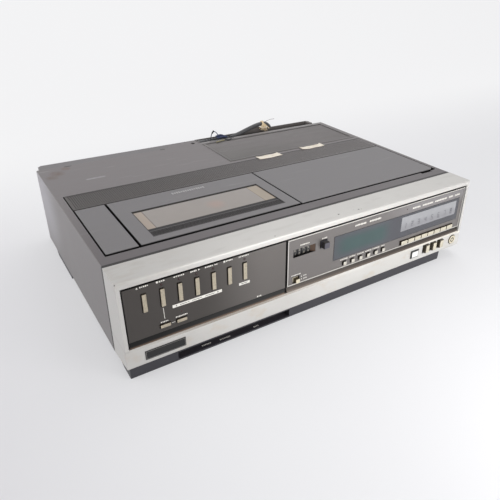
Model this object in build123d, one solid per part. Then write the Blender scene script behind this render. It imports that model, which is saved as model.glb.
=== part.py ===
"""Top-loading cassette video recorder, built as separate pieces, in millimetres.

+Z is up, the front faces -Y, and the origin is on the floor under the middle of
the outer box. Depths written as "behind the front edge" are measured from the
top front edge of the bezel, and the helper back() turns them into Y values.
"""
import math
import os

from build123d import *

os.makedirs("parts", exist_ok=True)

# Driving dimensions of the case
WIDTH = 480.0
TOP = 107.5
FRONT_Y = -156.0
BEZEL_DEPTH = 32.6
CABINET_DEPTH = 307.5
REAR_DEPTH = 323.0
CABINET_FOOT = 8.0
BEZEL_FOOT = 13.9
WALL = 2.2
LEAN = math.degrees(math.atan(0.0588))
COVER_GAP = 2.0

# Openings in the front face: heights above the floor
OPENING_TOP = 101.6
OPENING_FOOT = 34.7
SIDE_FRAME = 4.0
FACE_WALL = 3.0
BEZEL_TOP_WALL = 2.6
FASCIA_TOP = 98.9
FASCIA_FOOT = 42.4
FASCIA_RECESS = 1.2
FASCIA_THICK = 2.4
FASCIA_INSET = 1.4
FLANGE_THICK = 1.0
LEFT_PANEL_END = -56.9
RIGHT_PANEL_END = -54.2
LEDGE_FRONT = -1.2
LIP_HEIGHT = 1.8
BORDER_RAISE = 0.4
BORDER_WIDE = 1.1

# The recess in the top, its covers and the cassette lid
WELL_LEFT = -231.4
WELL_RIGHT = 233.9
WELL_FRONT = 50.5
WELL_REAR = 206.8
WELL_WALL = 1.5
COVER_REAR = 163.4
SKIN = 2.6
BLANK_RIGHT = -196.2
LID_LEFT = -193.4
LID_RIGHT = 2.8
LID_FRONT = 55.4
FLAP_LEFT = 5.0
FLAP_RIGHT = 232.3
FLAP_FRONT = 54.4
HINGE_INSET = 3.0
BARREL_RADIUS = 1.9
BARREL_LENGTH = 10.0
BARREL_INSET = 8.0
PIN_RADIUS = 0.8
POST_THICK = 2.4
POST_HALF = 1.3
WINDOW_LEFT = -176.2
WINDOW_RIGHT = -12.9
WINDOW_FRONT = 65.7
WINDOW_REAR = 128.3
BAND_DEPTH = 13.5
PANE_REBATE = 2.0
PANE_SUNK = 0.8
RIB_PITCH = 2.5
RIB_GROOVE = 1.1

# Rear ventilation grille
GRILLE_LEFT = 0.0
GRILLE_RIGHT = 232.0
GRILLE_FRONT = 213.5
GRILLE_REAR = 300.5
GRILLE_RIM = 2.6
GRILLE_SKIRT = 1.2
GRILLE_RAISE = 0.9
FIN_PITCH = 4.6
FIN_CHORD = 3.9
FIN_THICK = 1.3
FIN_TILT = 24.0

# Cassette, reels, drum and capstan
CASSETTE_X = (LID_LEFT + LID_RIGHT) / 2
HOLDER_TOP = 101.0
HOLDER_FOOT = 72.6
HOLDER_SHEET = 1.4
HOLDER_HALF = 81.0
HOLDER_LIP = 7.0
DECK_TOP = 62.0
DECK_SHEET = 2.0
REEL_SPACING = 70.0
REEL_DEPTH = 118.0
REEL_RADIUS = 29.0
DRUM_RADIUS = 37.2
DRUM_DEPTH = 226.0
DRUM_SPLIT = 78.0
DRUM_TOP = 95.5
CAPSTAN_X = -28.0
CAPSTAN_DEPTH = 178.0
RUN_CLEAR = 0.06
BODY_GAP = 0.3

# Front controls: centres in X, heights above the floor, sizes
KEY_X0 = -215.2
KEY_PITCH = 17.87
KEY_SIZE = (4.1, 18.9)
KEY_HEIGHT = 80.4
KEY_COUNT = 7
KEY_PROUD = 1.4
SMALL_KEY_X = (-197.6, -180.4)
SMALL_KEY_SIZE = (10.4, 3.4)
SMALL_KEY_HEIGHT = 49.1
CLOCK_X0 = 27.9
CLOCK_PITCH = 12.5
CLOCK_SIZE = (4.6, 4.6)
CLOCK_HEIGHT = 48.0
CLOCK_COUNT = 6
CLOCK_PROUD = 2.2
CHANNEL_X0 = 127.4
CHANNEL_PITCH = 12.35
CHANNEL_SIZE = (10.95, 5.2)
CHANNEL_HEIGHT = 47.5
CHANNEL_COUNT = 8
CHANNEL_PROUD = 2.0
CHANNEL_SIDE_SLACK = 1.2
KEY_SLACK = 0.65
STEM = 2.8
GUIDE_REACH = 10.0
COUNTER_WINDOW = (-46.9, -16.7, 76.2, 85.8)
COUNTER_WHEEL_RADIUS = 7.6
COUNTER_WHEELS = 4
COUNTER_X0 = -43.7
COUNTER_PITCH = 6.0
COUNTER_AXLE = 1.5
RESET_X = -5.0
RESET_HEIGHT = 82.1
RESET_SIZE = (9.0, 8.8)
RESET_CROWN = (8.0, 7.9)
RESET_REACH = 8.6
DISPLAY = (10.0, 226.6, 55.4, 86.4)
CHANNEL_PANEL = (118.9, 221.5, 63.7, 82.9)
SWITCH_X = -42.2
SWITCH_SLOT = (9.6, 8.4)
SWITCH_HEIGHT = 48.2
SWITCH_KNOB = (5.2, 4.8)
SWITCH_KNOB_X = -40.9
SWITCH_REST = 0.35
RAIL_KNOB_X = (173.2, 187.2, 201.0)
RAIL_KNOB_SIZE = (7.4, 11.6)
RAIL_KNOB_HEIGHT = 26.2
RAIL_KNOB_PROUD = 3.0
RAIL_TRAVEL = 3.0
RAIL_SLACK = 0.4
POWER_X = 225.0
POWER_HEIGHT = 25.3
POWER_RADIUS = 6.2
POWER_STEM = 2.2
LED_RADIUS = 1.3
LED_HEIGHT = 94.0

# Plinth
PLINTH_LEFT = -237.6
PLINTH_RIGHT = 204.5
PLINTH_FRONT = -4.6
PLINTH_DEPTH = 12.0
POCKET_LEFT = -187.5
POCKET_RIGHT = -50.0
POCKET_FOOT = 2.6
POCKET_TOP = 11.4
RUNNER_WIDE = 3.0
RUNNER_END = 118.0
RUNNER_FOOT = 2.3

# Base tray and rear cover
TRAY_SHEET = 1.2
REAR_BOX = (-235.4, 219.6)
BOX_FOOT = 14.0
BAY_DEPTH = 9.0
TAB = (-50.0, -1.3)
TAB_REAR = 320.5
TAB_THICK = 1.2
TAB_SCREW = (-10.3, 310.7)

# Rear lead
LEAD_RADIUS = 3.25
LEDGE_FLOOR = 98.6
GROMMET_TOP = 106.5
LEDGE_LEFT = 1.0
LEDGE_RIGHT = 214.0
LEDGE_WALL = 1.6
WALL_STEP_X = 76.0
WALL_STEP_TOP = TOP + 0.5
WALL_TOP = TOP + 1.5
SADDLE = (88.0, 97.0, 119.0, 128.0)
SADDLE_TOP = 112.5
BUSH_LENGTH = 46.0
LEAD_Y = 160.6
COIL_CENTRE = (92.0, 222.0)
COIL_OUTER = 49.7
COIL_INNER = 23.0
TAIL_Y = 267.5
PLUG_X = 33.0
PLUG_HEIGHT = 6.6
BOOT_END = 24.0

SIN_LEAN = math.sin(math.radians(LEAN))
COS_LEAN = math.cos(math.radians(LEAN))

# Axis of the cover hinges, and of the counter behind its window
HINGE_Y = FRONT_Y + COVER_REAR - HINGE_INSET
HINGE_Z = TOP - SKIN
COUNTER_DEPTH = FASCIA_RECESS + 1.2 + COUNTER_WHEEL_RADIUS

# Front face: X along the case, Y up the leaning face, Z out towards the user
FACE = Plane(origin=(0, FRONT_Y, TOP), x_dir=(1, 0, 0), z_dir=(0, -COS_LEAN, SIN_LEAN))


def back(depth):
    """Y of a point this far behind the top front edge."""
    return FRONT_Y + depth


def up(height):
    """Distance along the leaning face of a point at this height."""
    return (height - TOP) / COS_LEAN


def on_face(v, w):
    """The (y, z) place of a point given in the frame of the leaning front face."""
    return (FRONT_Y + SIN_LEAN * v - COS_LEAN * w, TOP + COS_LEAN * v + SIN_LEAN * w)


def underside(y):
    """Height of the bezel's sloping underside."""
    y0, z0 = on_face(up(BEZEL_FOOT), 0)
    y1 = back(BEZEL_DEPTH)
    return z0 + (CABINET_FOOT - z0) * (y - y0) / (y1 - y0)


def block(x0, x1, y0, y1, z0, z1):
    """Box between two corners, in the part's own frame."""
    centre = ((x0 + x1) / 2, (y0 + y1) / 2, (z0 + z1) / 2)
    return Pos(*centre) * Box(x1 - x0, y1 - y0, z1 - z0)


def face_block(x0, x1, v0, v1, w0, w1):
    """Box between two corners, in the frame of the leaning front face."""
    return FACE * block(x0, x1, v0, v1, w0, w1)


def face_bar(x, height, size, w0, w1, rounding):
    """Rounded bar square to the leaning face, centred at a height."""
    outline = RectangleRounded(size[0], size[1], rounding)
    return FACE * (Pos(x, up(height), w0) * extrude(outline, w1 - w0))


def face_rod(x, height, radius, w0, w1):
    """Round rod square to the leaning face."""
    return FACE * (Pos(x, up(height), (w0 + w1) / 2) * Cylinder(radius, w1 - w0))


def rod(x, y, z0, z1, radius):
    """Upright round rod."""
    return Pos(x, y, (z0 + z1) / 2) * Cylinder(radius, z1 - z0)


def edge_profile(points, x0, x1):
    """Extrude a side outline, given as (y, z) points, from x0 to x1."""
    outline = make_face(Polyline(*points, close=True))
    solid = extrude(Plane.YZ * outline, x1 - x0)
    return Pos(x0, 0, 0) * solid


def face_profile(points, x0, x1):
    """Extrude an outline, given in the frame of the leaning front face, from x0 to x1."""
    return FACE * edge_profile(points, x0, x1)


def joined(shapes):
    """Fuse a list of shapes into one."""
    first = shapes[0]
    for shape in shapes[1:]:
        first = first + shape
    return first


def save(name, *solids):
    """Write one piece, or a group of separate pieces, as a STEP file."""
    flat = []
    for item in solids:
        flat.extend(item.solids())
    shape = flat[0] if len(flat) == 1 else Compound(children=flat)
    shape.label = name
    export_step(shape, f"parts/{name}.step")


def case_shell():
    """Folded cover: top and two sides, with the control recess and the grille opening."""
    half = WIDTH / 2
    y0 = back(BEZEL_DEPTH + 0.3)
    y1 = back(CABINET_DEPTH)
    shell = block(-half, half, y0, y1, CABINET_FOOT, TOP)
    long_edges = shell.edges().filter_by(Axis.Y).group_by(Axis.Z)[-1]
    shell = fillet(long_edges, 1.4)
    hollow = block(-half + WALL, half - WALL, y0 - 1, y1 + 1, CABINET_FOOT - 1, TOP - WALL)
    shell = shell - hollow
    well = block(WELL_LEFT, WELL_RIGHT, back(WELL_FRONT), back(WELL_REAR), TOP - 12, TOP + 1)
    collar = block(
        WELL_LEFT - WELL_WALL,
        WELL_RIGHT + WELL_WALL,
        back(WELL_FRONT - WELL_WALL),
        back(WELL_REAR + WELL_WALL),
        TOP - 11,
        TOP - WALL,
    )
    shell = (shell + collar) - well
    grille = block(
        GRILLE_LEFT + GRILLE_RIM,
        GRILLE_RIGHT - GRILLE_RIM,
        back(GRILLE_FRONT + GRILLE_RIM),
        back(GRILLE_REAR - GRILLE_RIM),
        TOP - 12,
        TOP + 1,
    )
    notch = Pos(213, back(WELL_FRONT), TOP) * Box(20, 7, 3.2)
    tab = block(*TAB, back(CABINET_DEPTH - 3), back(TAB_REAR), TOP - TAB_THICK, TOP)
    screw_hole = Pos(TAB_SCREW[0], back(TAB_SCREW[1]), TOP) * Cylinder(3.2, 6)
    return (shell + tab) - grille - notch - screw_hole


def bezel():
    """Moulded front frame: top strip, two cheeks, the leaning face and its rail."""
    half = WIDTH / 2
    outline = [
        on_face(0, 0),
        on_face(up(BEZEL_FOOT), 0),
        (back(BEZEL_DEPTH), CABINET_FOOT),
        (back(BEZEL_DEPTH), TOP),
    ]
    frame = edge_profile(outline, -half, half)
    brow = frame.edges().filter_by(Axis.X).sort_by(Axis.Z)[-2:].sort_by(Axis.Y)[:1]
    frame = fillet(brow, 1.6)
    inner = [
        on_face(up(TOP - BEZEL_TOP_WALL), -FACE_WALL),
        on_face(up(CABINET_FOOT - 8), -FACE_WALL),
        (back(BEZEL_DEPTH) + 1, CABINET_FOOT - 8),
        (back(BEZEL_DEPTH) + 1, TOP - BEZEL_TOP_WALL),
    ]
    left, right = -half + SIDE_FRAME, half - SIDE_FRAME
    frame = frame - edge_profile(inner, left, right)
    mouth_top = up(OPENING_TOP)
    mouth_foot = up(OPENING_FOOT)
    frame = frame - face_block(left, right, mouth_foot, mouth_top, -8, 3)
    frame = frame + face_block(left, right, mouth_foot - 1.6, mouth_foot, -7, -2)
    lip = [
        (mouth_foot, LEDGE_FRONT),
        (mouth_foot - LIP_HEIGHT, 0),
        (mouth_foot - LIP_HEIGHT, 1),
        (mouth_foot + 1, 1),
        (mouth_foot + 1, LEDGE_FRONT),
    ]
    frame = frame - face_profile(lip, left, right)
    for x in RAIL_KNOB_X:
        frame = frame - rail_slot(x)
    frame = frame - face_rod(POWER_X, POWER_HEIGHT, POWER_RADIUS + KEY_SLACK, -9, 3)
    return frame + knob_backing() + power_guide()


def rail_slot(x):
    """Slot in the rail for one slide knob, longer than the knob by its travel."""
    width, height = RAIL_KNOB_SIZE
    middle = x - RAIL_TRAVEL / 2
    size = (width + RAIL_TRAVEL + 2 * RAIL_SLACK, height + 2 * RAIL_SLACK)
    return face_bar(middle, RAIL_KNOB_HEIGHT, size, -9, 3, 0.4)


def knob_backing():
    """Bar behind the slide knobs, on two end posts, which keeps their feet against the rail."""
    x0, x1 = RAIL_KNOB_X[0] - 10.6, RAIL_KNOB_X[-1] + 8.6
    v0, v1 = up(20.5), up(31.5)
    bar = face_block(x0, x1, v0, v1, -FACE_WALL - 3.6, -FACE_WALL - 2.1)
    posts = [face_block(x, x + 2, v0, v1, -FACE_WALL - 3, -FACE_WALL + 0.5) for x in (x0, x1 - 2)]
    return joined([bar] + posts)


def power_guide():
    """Shelf from the right cheek with the hole that guides the power key's stem."""
    x0, x1 = POWER_X - 7.6, WIDTH / 2 - SIDE_FRAME + 1
    shelf = face_block(x0, x1, up(POWER_HEIGHT - 5), up(POWER_HEIGHT + 5), -13.0, -10.6)
    return shelf - face_rod(POWER_X, POWER_HEIGHT, POWER_STEM + RUN_CLEAR, -15, -9)


def fascia_blank(x0, x1, flange_x0, flange_x1):
    """Flat front panel with a sloping ledge at its foot, on a thin flange with lugs behind the frame."""
    front = -FASCIA_RECESS
    rear = front - FASCIA_THICK
    fold = up(FASCIA_FOOT)
    foot = up(OPENING_FOOT)
    panel = face_block(x0, x1, fold, up(FASCIA_TOP), rear, front)
    flange_top = up(OPENING_TOP) - BODY_GAP
    flange = face_block(flange_x0, flange_x1, foot + BODY_GAP, flange_top, rear, rear + FLANGE_THICK)
    section = [
        (fold + 0.2, rear + 0.55),
        (foot, LEDGE_FRONT),
        (foot, LEDGE_FRONT - 1.7),
        (fold - 1.8, rear),
        (fold + 0.2, rear),
    ]
    ledge = face_profile(section, x0, x1)
    middle = (x0 + x1) / 2
    reach = (x1 - x0) / 2 - 14
    lugs = [
        face_block(x - 5, x + 5, up(FASCIA_TOP) - 3, up(OPENING_TOP) + 2, -FACE_WALL - 1.6, -FACE_WALL)
        for x in (middle - reach, middle, middle + reach)
    ]
    return joined([panel, flange, ledge] + lugs)


def stem_guide(xs, height, reach=GUIDE_REACH):
    """Bar behind a row of keys, on two end posts, with a square hole for each stem."""
    rear = -FASCIA_RECESS - FASCIA_THICK
    x0, x1 = min(xs) - reach, max(xs) + reach
    v0, v1 = up(height) - 3.2, up(height) + 3.2
    bar = face_block(x0, x1, v0, v1, rear - 10, rear - 8)
    posts = [face_block(x, x + 2.5, v0, v1, rear - 9, rear + 0.5) for x in (x0, x1 - 2.5)]
    hole = STEM + 2 * RUN_CLEAR
    holes = [face_bar(x, height, (hole, hole), rear - 12, rear - 6, 0.4) for x in xs]
    return joined([bar] + posts) - joined(holes)


def key_slots(xs, height, size):
    """Cutters for a row of key slots."""
    slack = 2 * KEY_SLACK
    outline = (size[0] + slack, size[1] + slack)
    return joined([face_bar(x, height, outline, -9, 2, 0.4) for x in xs])


def row(first, pitch, count):
    """Centres of a row."""
    return [first + pitch * i for i in range(count)]


KEY_XS = row(KEY_X0, KEY_PITCH, KEY_COUNT)
CLOCK_XS = row(CLOCK_X0, CLOCK_PITCH, CLOCK_COUNT)
CHANNEL_XS = row(CHANNEL_X0, CHANNEL_PITCH, CHANNEL_COUNT)
LED_XS = [KEY_XS[i] for i in (1, 2, 3, 4, 6)]


def left_panel():
    """Dark panel behind the transport keys."""
    outer = -WIDTH / 2 + SIDE_FRAME + BODY_GAP
    panel = fascia_blank(outer + FASCIA_INSET, LEFT_PANEL_END, outer, LEFT_PANEL_END + 1.0)
    panel = panel - key_slots(KEY_XS, KEY_HEIGHT, KEY_SIZE)
    panel = panel - key_slots(SMALL_KEY_X, SMALL_KEY_HEIGHT, SMALL_KEY_SIZE)
    for x in LED_XS:
        panel = panel - face_rod(x, LED_HEIGHT, LED_RADIUS, -9, 2)
    return joined([panel, stem_guide(KEY_XS, KEY_HEIGHT), stem_guide(SMALL_KEY_X, SMALL_KEY_HEIGHT)])


def right_panel():
    """Paler panel round the counter, clock and channel controls, with a raised border."""
    outer = WIDTH / 2 - SIDE_FRAME - BODY_GAP
    x0 = RIGHT_PANEL_END
    x1 = outer - FASCIA_INSET
    front = -FASCIA_RECESS
    v0 = up(FASCIA_FOOT)
    v1 = up(FASCIA_TOP)
    border = face_block(x0, x1, v0, v1, front, front + BORDER_RAISE)
    inside = (x0 + BORDER_WIDE, x1 - BORDER_WIDE, v0 + BORDER_WIDE, v1 - BORDER_WIDE)
    border = border - face_block(*inside, front - 1, front + 1)
    panel = fascia_blank(x0, x1, x0 - 1.0, outer) + border
    cx0, cx1, cz0, cz1 = COUNTER_WINDOW
    panel = panel - face_block(cx0, cx1, up(cz0), up(cz1), -9, 2)
    dx0, dx1, dz0, dz1 = DISPLAY
    panel = panel - face_block(dx0, dx1, up(dz0), up(dz1), -9, 2)
    panel = panel - key_slots(CLOCK_XS, CLOCK_HEIGHT, CLOCK_SIZE)
    run = CHANNEL_XS[-1] - CHANNEL_XS[0]
    middle = (CHANNEL_XS[0] + CHANNEL_XS[-1]) / 2
    long_slot = (CHANNEL_SIZE[0] + run + 2 * CHANNEL_SIDE_SLACK, CHANNEL_SIZE[1])
    panel = panel - key_slots([middle], CHANNEL_HEIGHT, long_slot)
    panel = panel - key_slots([RESET_X], RESET_HEIGHT, RESET_SIZE)
    panel = panel - face_bar(SWITCH_X, SWITCH_HEIGHT, SWITCH_SLOT, -9, 2, 0.4)
    guides = [
        stem_guide(CLOCK_XS, CLOCK_HEIGHT),
        stem_guide(CHANNEL_XS, CHANNEL_HEIGHT),
        stem_guide([RESET_X], RESET_HEIGHT, RESET_REACH),
    ]
    return joined([panel, counter_bevel(), counter_cheeks(), switch_backing()] + guides)


def counter_bevel():
    """Sloping filler between the last number wheel and the right edge of the counter window."""
    x1, z0, z1 = COUNTER_WINDOW[1:]
    outline = [
        (x1 - 5.6, -6.0),
        (x1 - 5.6, -5.0),
        (x1, -FASCIA_RECESS - 0.4),
        (x1 + 0.5, -FASCIA_RECESS - 0.4),
        (x1 + 0.5, -6.0),
    ]
    face = Plane.XZ * make_face(Polyline(*outline, close=True))
    wedge = extrude(face, up(z0) - up(z1) - 0.6)
    return FACE * (Pos(0, up(z0) - 0.3, 0) * wedge)


def counter_cheeks():
    """Two cheeks behind the counter window that carry the shaft of the number wheels."""
    rear = -FASCIA_RECESS - FASCIA_THICK
    cx0, cx1, cz0, cz1 = COUNTER_WINDOW
    middle = (up(cz0) + up(cz1)) / 2
    cheeks = [
        face_block(x, x + 1.6, middle - 4, middle + 4, -COUNTER_DEPTH - 4, rear + 0.5)
        for x in (cx0 - 2.0, cx1 + 0.4)
    ]
    bore = Rot(0, 90, 0) * Cylinder(COUNTER_AXLE + RUN_CLEAR, cx1 - cx0 + 8)
    return joined(cheeks) - FACE * (Pos((cx0 + cx1) / 2, middle, -COUNTER_DEPTH) * bore)


def switch_backing():
    """Bar behind the timer knob, on two posts."""
    rear = -FASCIA_RECESS - FASCIA_THICK
    x0, x1 = SWITCH_X - 9, SWITCH_X + 10.6
    v0, v1 = up(44.5), up(53.0)
    bar = face_block(x0, x1, v0, v1, rear - 3.2, rear - 1.8)
    posts = [face_block(x, x + 2, v0, v1, rear - 3, rear + 0.5) for x in (x0, x1 - 2)]
    return joined([bar] + posts)


def push_key(x, height, size, proud, side=1.2):
    """Key cap with a stop flange behind the panel, above and beside the cap, and a stem."""
    front = -FASCIA_RECESS
    rear = front - FASCIA_THICK
    cap = face_bar(x, height, size, rear - BODY_GAP - 0.5, front + proud, 0.5)
    flange_size = (size[0] + 2 * side, size[1] + 1.6)
    flange = face_bar(x, height + 0.8, flange_size, rear - BODY_GAP - 1.4, rear - BODY_GAP, 0.5)
    stem = face_bar(x, height, (STEM, STEM), rear - 13, rear - 1, 0.4)
    return cap + flange + stem


def slide_knob(x):
    """Knob of a slide switch on the rail, with a foot that runs behind it."""
    foot_size = (RAIL_KNOB_SIZE[0] + 1.4, RAIL_KNOB_SIZE[1] + 1.8)
    foot_front = -FACE_WALL - BODY_GAP
    knob = face_bar(x, RAIL_KNOB_HEIGHT, RAIL_KNOB_SIZE, foot_front - 0.5, RAIL_KNOB_PROUD, 0.7)
    rim = knob.faces().sort_by(Axis.Y)[0].edges()
    knob = chamfer(rim, 0.7)
    return knob + face_bar(x, RAIL_KNOB_HEIGHT, foot_size, foot_front - 1.5, foot_front, 0.4)


def round_power_key():
    """Round push key with a rounded rim, a stop collar and a stem."""
    key = face_rod(POWER_X, POWER_HEIGHT, POWER_RADIUS, -5.0, 1.0)
    rim = key.faces().sort_by(Axis.Y)[0].edges()
    key = fillet(rim, 0.6)
    collar = face_rod(POWER_X, POWER_HEIGHT, POWER_RADIUS + 1.0, -5.5, -3.6)
    stem = face_rod(POWER_X, POWER_HEIGHT, POWER_STEM, -16.0, -5.0)
    return key + collar + stem


def reset_key():
    """Square black reset knob, stepped at its base."""
    knob = push_key(RESET_X, RESET_HEIGHT, RESET_SIZE, 0.8)
    crown = face_bar(RESET_X, RESET_HEIGHT, RESET_CROWN, -FASCIA_RECESS, 5.0, 1.2)
    rim = crown.faces().sort_by(Axis.Y)[0].edges()
    return knob + chamfer(rim, 0.6)


def timer_knob():
    """Small knob of the two-way timer switch, at its lower position."""
    rear = -FASCIA_RECESS - FASCIA_THICK
    height = SWITCH_HEIGHT - (SWITCH_SLOT[1] - SWITCH_KNOB[1]) / 2 + SWITCH_REST
    knob = face_bar(SWITCH_KNOB_X, height, SWITCH_KNOB, rear - 0.8, 1.2, 0.4)
    foot = face_bar(SWITCH_KNOB_X, height, (12.0, 6.0), rear - 1.5, rear - BODY_GAP, 0.4)
    return knob + foot


def counter_shaft():
    """Middle of the counter's shaft, behind its window."""
    height = (COUNTER_WINDOW[2] + COUNTER_WINDOW[3]) / 2
    return on_face(up(height), -COUNTER_DEPTH)


def number_wheels():
    """Four number wheels side by side on one shaft."""
    left, right = COUNTER_WINDOW[:2]
    y, z = counter_shaft()
    across = Rot(0, 90, 0)
    wheels = []
    for x in row(COUNTER_X0, COUNTER_PITCH, COUNTER_WHEELS):
        wheels.append(Pos(x, y, z) * across * Cylinder(COUNTER_WHEEL_RADIUS, COUNTER_PITCH - 0.9))
    wheels.append(Pos((left + right) / 2, y, z) * across * Cylinder(COUNTER_AXLE, right - left + 4.0))
    return joined(wheels)


def plinth():
    """Black foot rail under the bezel, with a long finger pocket and a runner under the left side."""
    front = back(PLINTH_FRONT)
    rear = front + PLINTH_DEPTH
    outline = [(front, 0), (front, underside(front)), (rear, underside(rear)), (rear, 0)]
    rail = edge_profile(outline, PLINTH_LEFT, PLINTH_RIGHT)
    lower_front = rail.edges().filter_by(Axis.X).group_by(Axis.Z)[0].sort_by(Axis.Y)[:1]
    rail = chamfer(lower_front, 0.8)
    upright = rail.edges().filter_by(Axis.Z).group_by(Axis.Y)[0]
    rail = fillet(upright, 1.6)
    pocket = block(POCKET_LEFT, POCKET_RIGHT, front - 1, front + 9, POCKET_FOOT, POCKET_TOP)
    rail = rail - pocket
    runner = [
        (rear - 1, 0),
        (rear - 1, underside(rear - 1)),
        (back(BEZEL_DEPTH), CABINET_FOOT),
        (back(RUNNER_END), CABINET_FOOT),
        (back(RUNNER_END - 7), RUNNER_FOOT),
        (rear + 14, RUNNER_FOOT),
        (rear + 8, 0),
    ]
    return rail + edge_profile(runner, PLINTH_LEFT, PLINTH_LEFT + RUNNER_WIDE)


def bottom_tray():
    """Pressed base tray with turned-up edges, a front tongue and cooling slots."""
    half = WIDTH / 2 - WALL
    y0 = back(BEZEL_DEPTH + 1)
    y1 = back(CABINET_DEPTH - 2.0)
    floor_z = CABINET_FOOT
    tray = block(-half, half, y0, y1, floor_z, floor_z + 22)
    hollow = block(
        -half + TRAY_SHEET, half - TRAY_SHEET, y0 + TRAY_SHEET, y1 - TRAY_SHEET, floor_z + TRAY_SHEET, 40
    )
    tongue_y = back(PLINTH_FRONT + PLINTH_DEPTH)
    tongue = block(-half + 6, half - 6, tongue_y, y0 + 1, floor_z, floor_z + TRAY_SHEET)
    slot = extrude(SlotOverall(34, 4), 4)
    cutters = [Pos(0, 20, floor_z - 1) * place * slot for place in GridLocations(60, 12, 6, 4)]
    return (tray - hollow + tongue) - cutters


def rear_feet():
    """Two long rear feet with sloping backs, one under each side."""
    outline = [
        (back(199.0), 0),
        (back(267.0), 0),
        (back(275.0), CABINET_FOOT),
        (back(199.0), CABINET_FOOT),
    ]
    left = edge_profile(outline, -WIDTH / 2 + 0.6, -WIDTH / 2 + 13)
    right = edge_profile(outline, WIDTH / 2 - 13, WIDTH / 2 - 0.6)
    return [left, right]


def blank_cover():
    """Small plain cover at the left of the recess: a skin with a skirt."""
    x0 = WELL_LEFT + COVER_GAP
    y0 = back(WELL_FRONT + 4.4)
    y1 = back(COVER_REAR)
    cover = block(x0, BLANK_RIGHT, y0, y1, TOP - 11, TOP)
    top_edges = cover.faces().sort_by(Axis.Z)[-1].edges()
    cover = fillet(top_edges, 0.5)
    cover = cover - block(x0 + 2, BLANK_RIGHT - 2, y0 + 2, y1 - 2, TOP - 12, TOP - SKIN)
    ear = block(WELL_LEFT, x0 + 1, y0 + 20, y1 - 20, TOP - 11, TOP - 5)
    return cover + ear


def ribbed_strip():
    """Cross strip behind the covers, with fine ribs and the posts that carry the cover hinges."""
    x0 = WELL_LEFT + 1.4
    x1 = WELL_RIGHT - 1.4
    y0 = back(COVER_REAR + COVER_GAP)
    y1 = back(WELL_REAR - 0.8)
    strip = block(x0, x1, y0, y1, TOP - 9, TOP - 0.2)
    strip = strip - block(x0 + 2, x1 - 2, y0 + 2, y1 - 2, TOP - 10, TOP - SKIN - 0.6)
    count = int((x1 - x0 - 4) / RIB_PITCH)
    groove = Box(RIB_GROOVE, y1 - y0 - 3, 1.2)
    middle = Pos((x0 + x1) / 2, (y0 + y1) / 2, TOP - 0.2)
    strip = strip - [middle * place * groove for place in GridLocations(RIB_PITCH, 1, count, 1)]
    ears = [
        block(WELL_LEFT, x0 + 1, y0 + 6, y1 - 6, TOP - 9, TOP - 4),
        block(x1 - 1, WELL_RIGHT, y0 + 6, y1 - 6, TOP - 9, TOP - 4),
    ]
    posts = [hinge_post(x, side) for x, side in cover_barrels()]
    return joined([strip] + ears + posts)


def barrel_places(left, right):
    """Middles of the two barrels of a cover, and the side on which each one's post stands."""
    return [(left + BARREL_INSET, 1), (right - BARREL_INSET, -1)]


def cover_barrels():
    """Barrels of the cassette lid and of the tuning flap."""
    return barrel_places(LID_LEFT, LID_RIGHT) + barrel_places(FLAP_LEFT, FLAP_RIGHT)


def span(x, side, near, far):
    """Ends, in order, of a stretch that starts beside x and runs to the given side."""
    return sorted((x + side * near, x + side * far))


def hinge_post(x, side):
    """Post with a round head and a pin that runs through one barrel."""
    gap = BARREL_LENGTH / 2 + BODY_GAP
    x0, x1 = span(x, side, gap, gap + POST_THICK)
    foot_z = TOP - 9
    foot = block(x0, x1, HINGE_Y - POST_HALF, back(COVER_REAR + COVER_GAP) + 0.5, foot_z, foot_z + 3.2)
    stalk = block(x0, x1, HINGE_Y - POST_HALF, HINGE_Y + POST_HALF, foot_z, HINGE_Z)
    head = across_rod(x0, x1, POST_HALF)
    p0, p1 = span(x, side, -BARREL_LENGTH / 2, gap + 1)
    return joined([foot, stalk, head, across_rod(p0, p1, PIN_RADIUS)])


def across_rod(x0, x1, radius):
    """Round rod on the axis of the cover hinges."""
    return Pos((x0 + x1) / 2, HINGE_Y, HINGE_Z) * Rot(0, 90, 0) * Cylinder(radius, x1 - x0)


def hinged(cover, left, right):
    """Give a cover its two hinge barrels, with bores for the pins and notches for the posts."""
    for x, side in barrel_places(left, right):
        gap = BARREL_LENGTH / 2
        barrel = across_rod(x - gap, x + gap, BARREL_RADIUS)
        x0, x1 = span(x, side, gap, gap + POST_THICK + 2 * BODY_GAP)
        notch = block(x0, x1, HINGE_Y - 2.0, HINGE_Y + 4, HINGE_Z - 1, HINGE_Z + 1.7)
        bore = across_rod(x - gap - 1, x + gap + 1, PIN_RADIUS + RUN_CLEAR)
        cover = (cover + barrel) - notch - bore
    return cover


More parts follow.
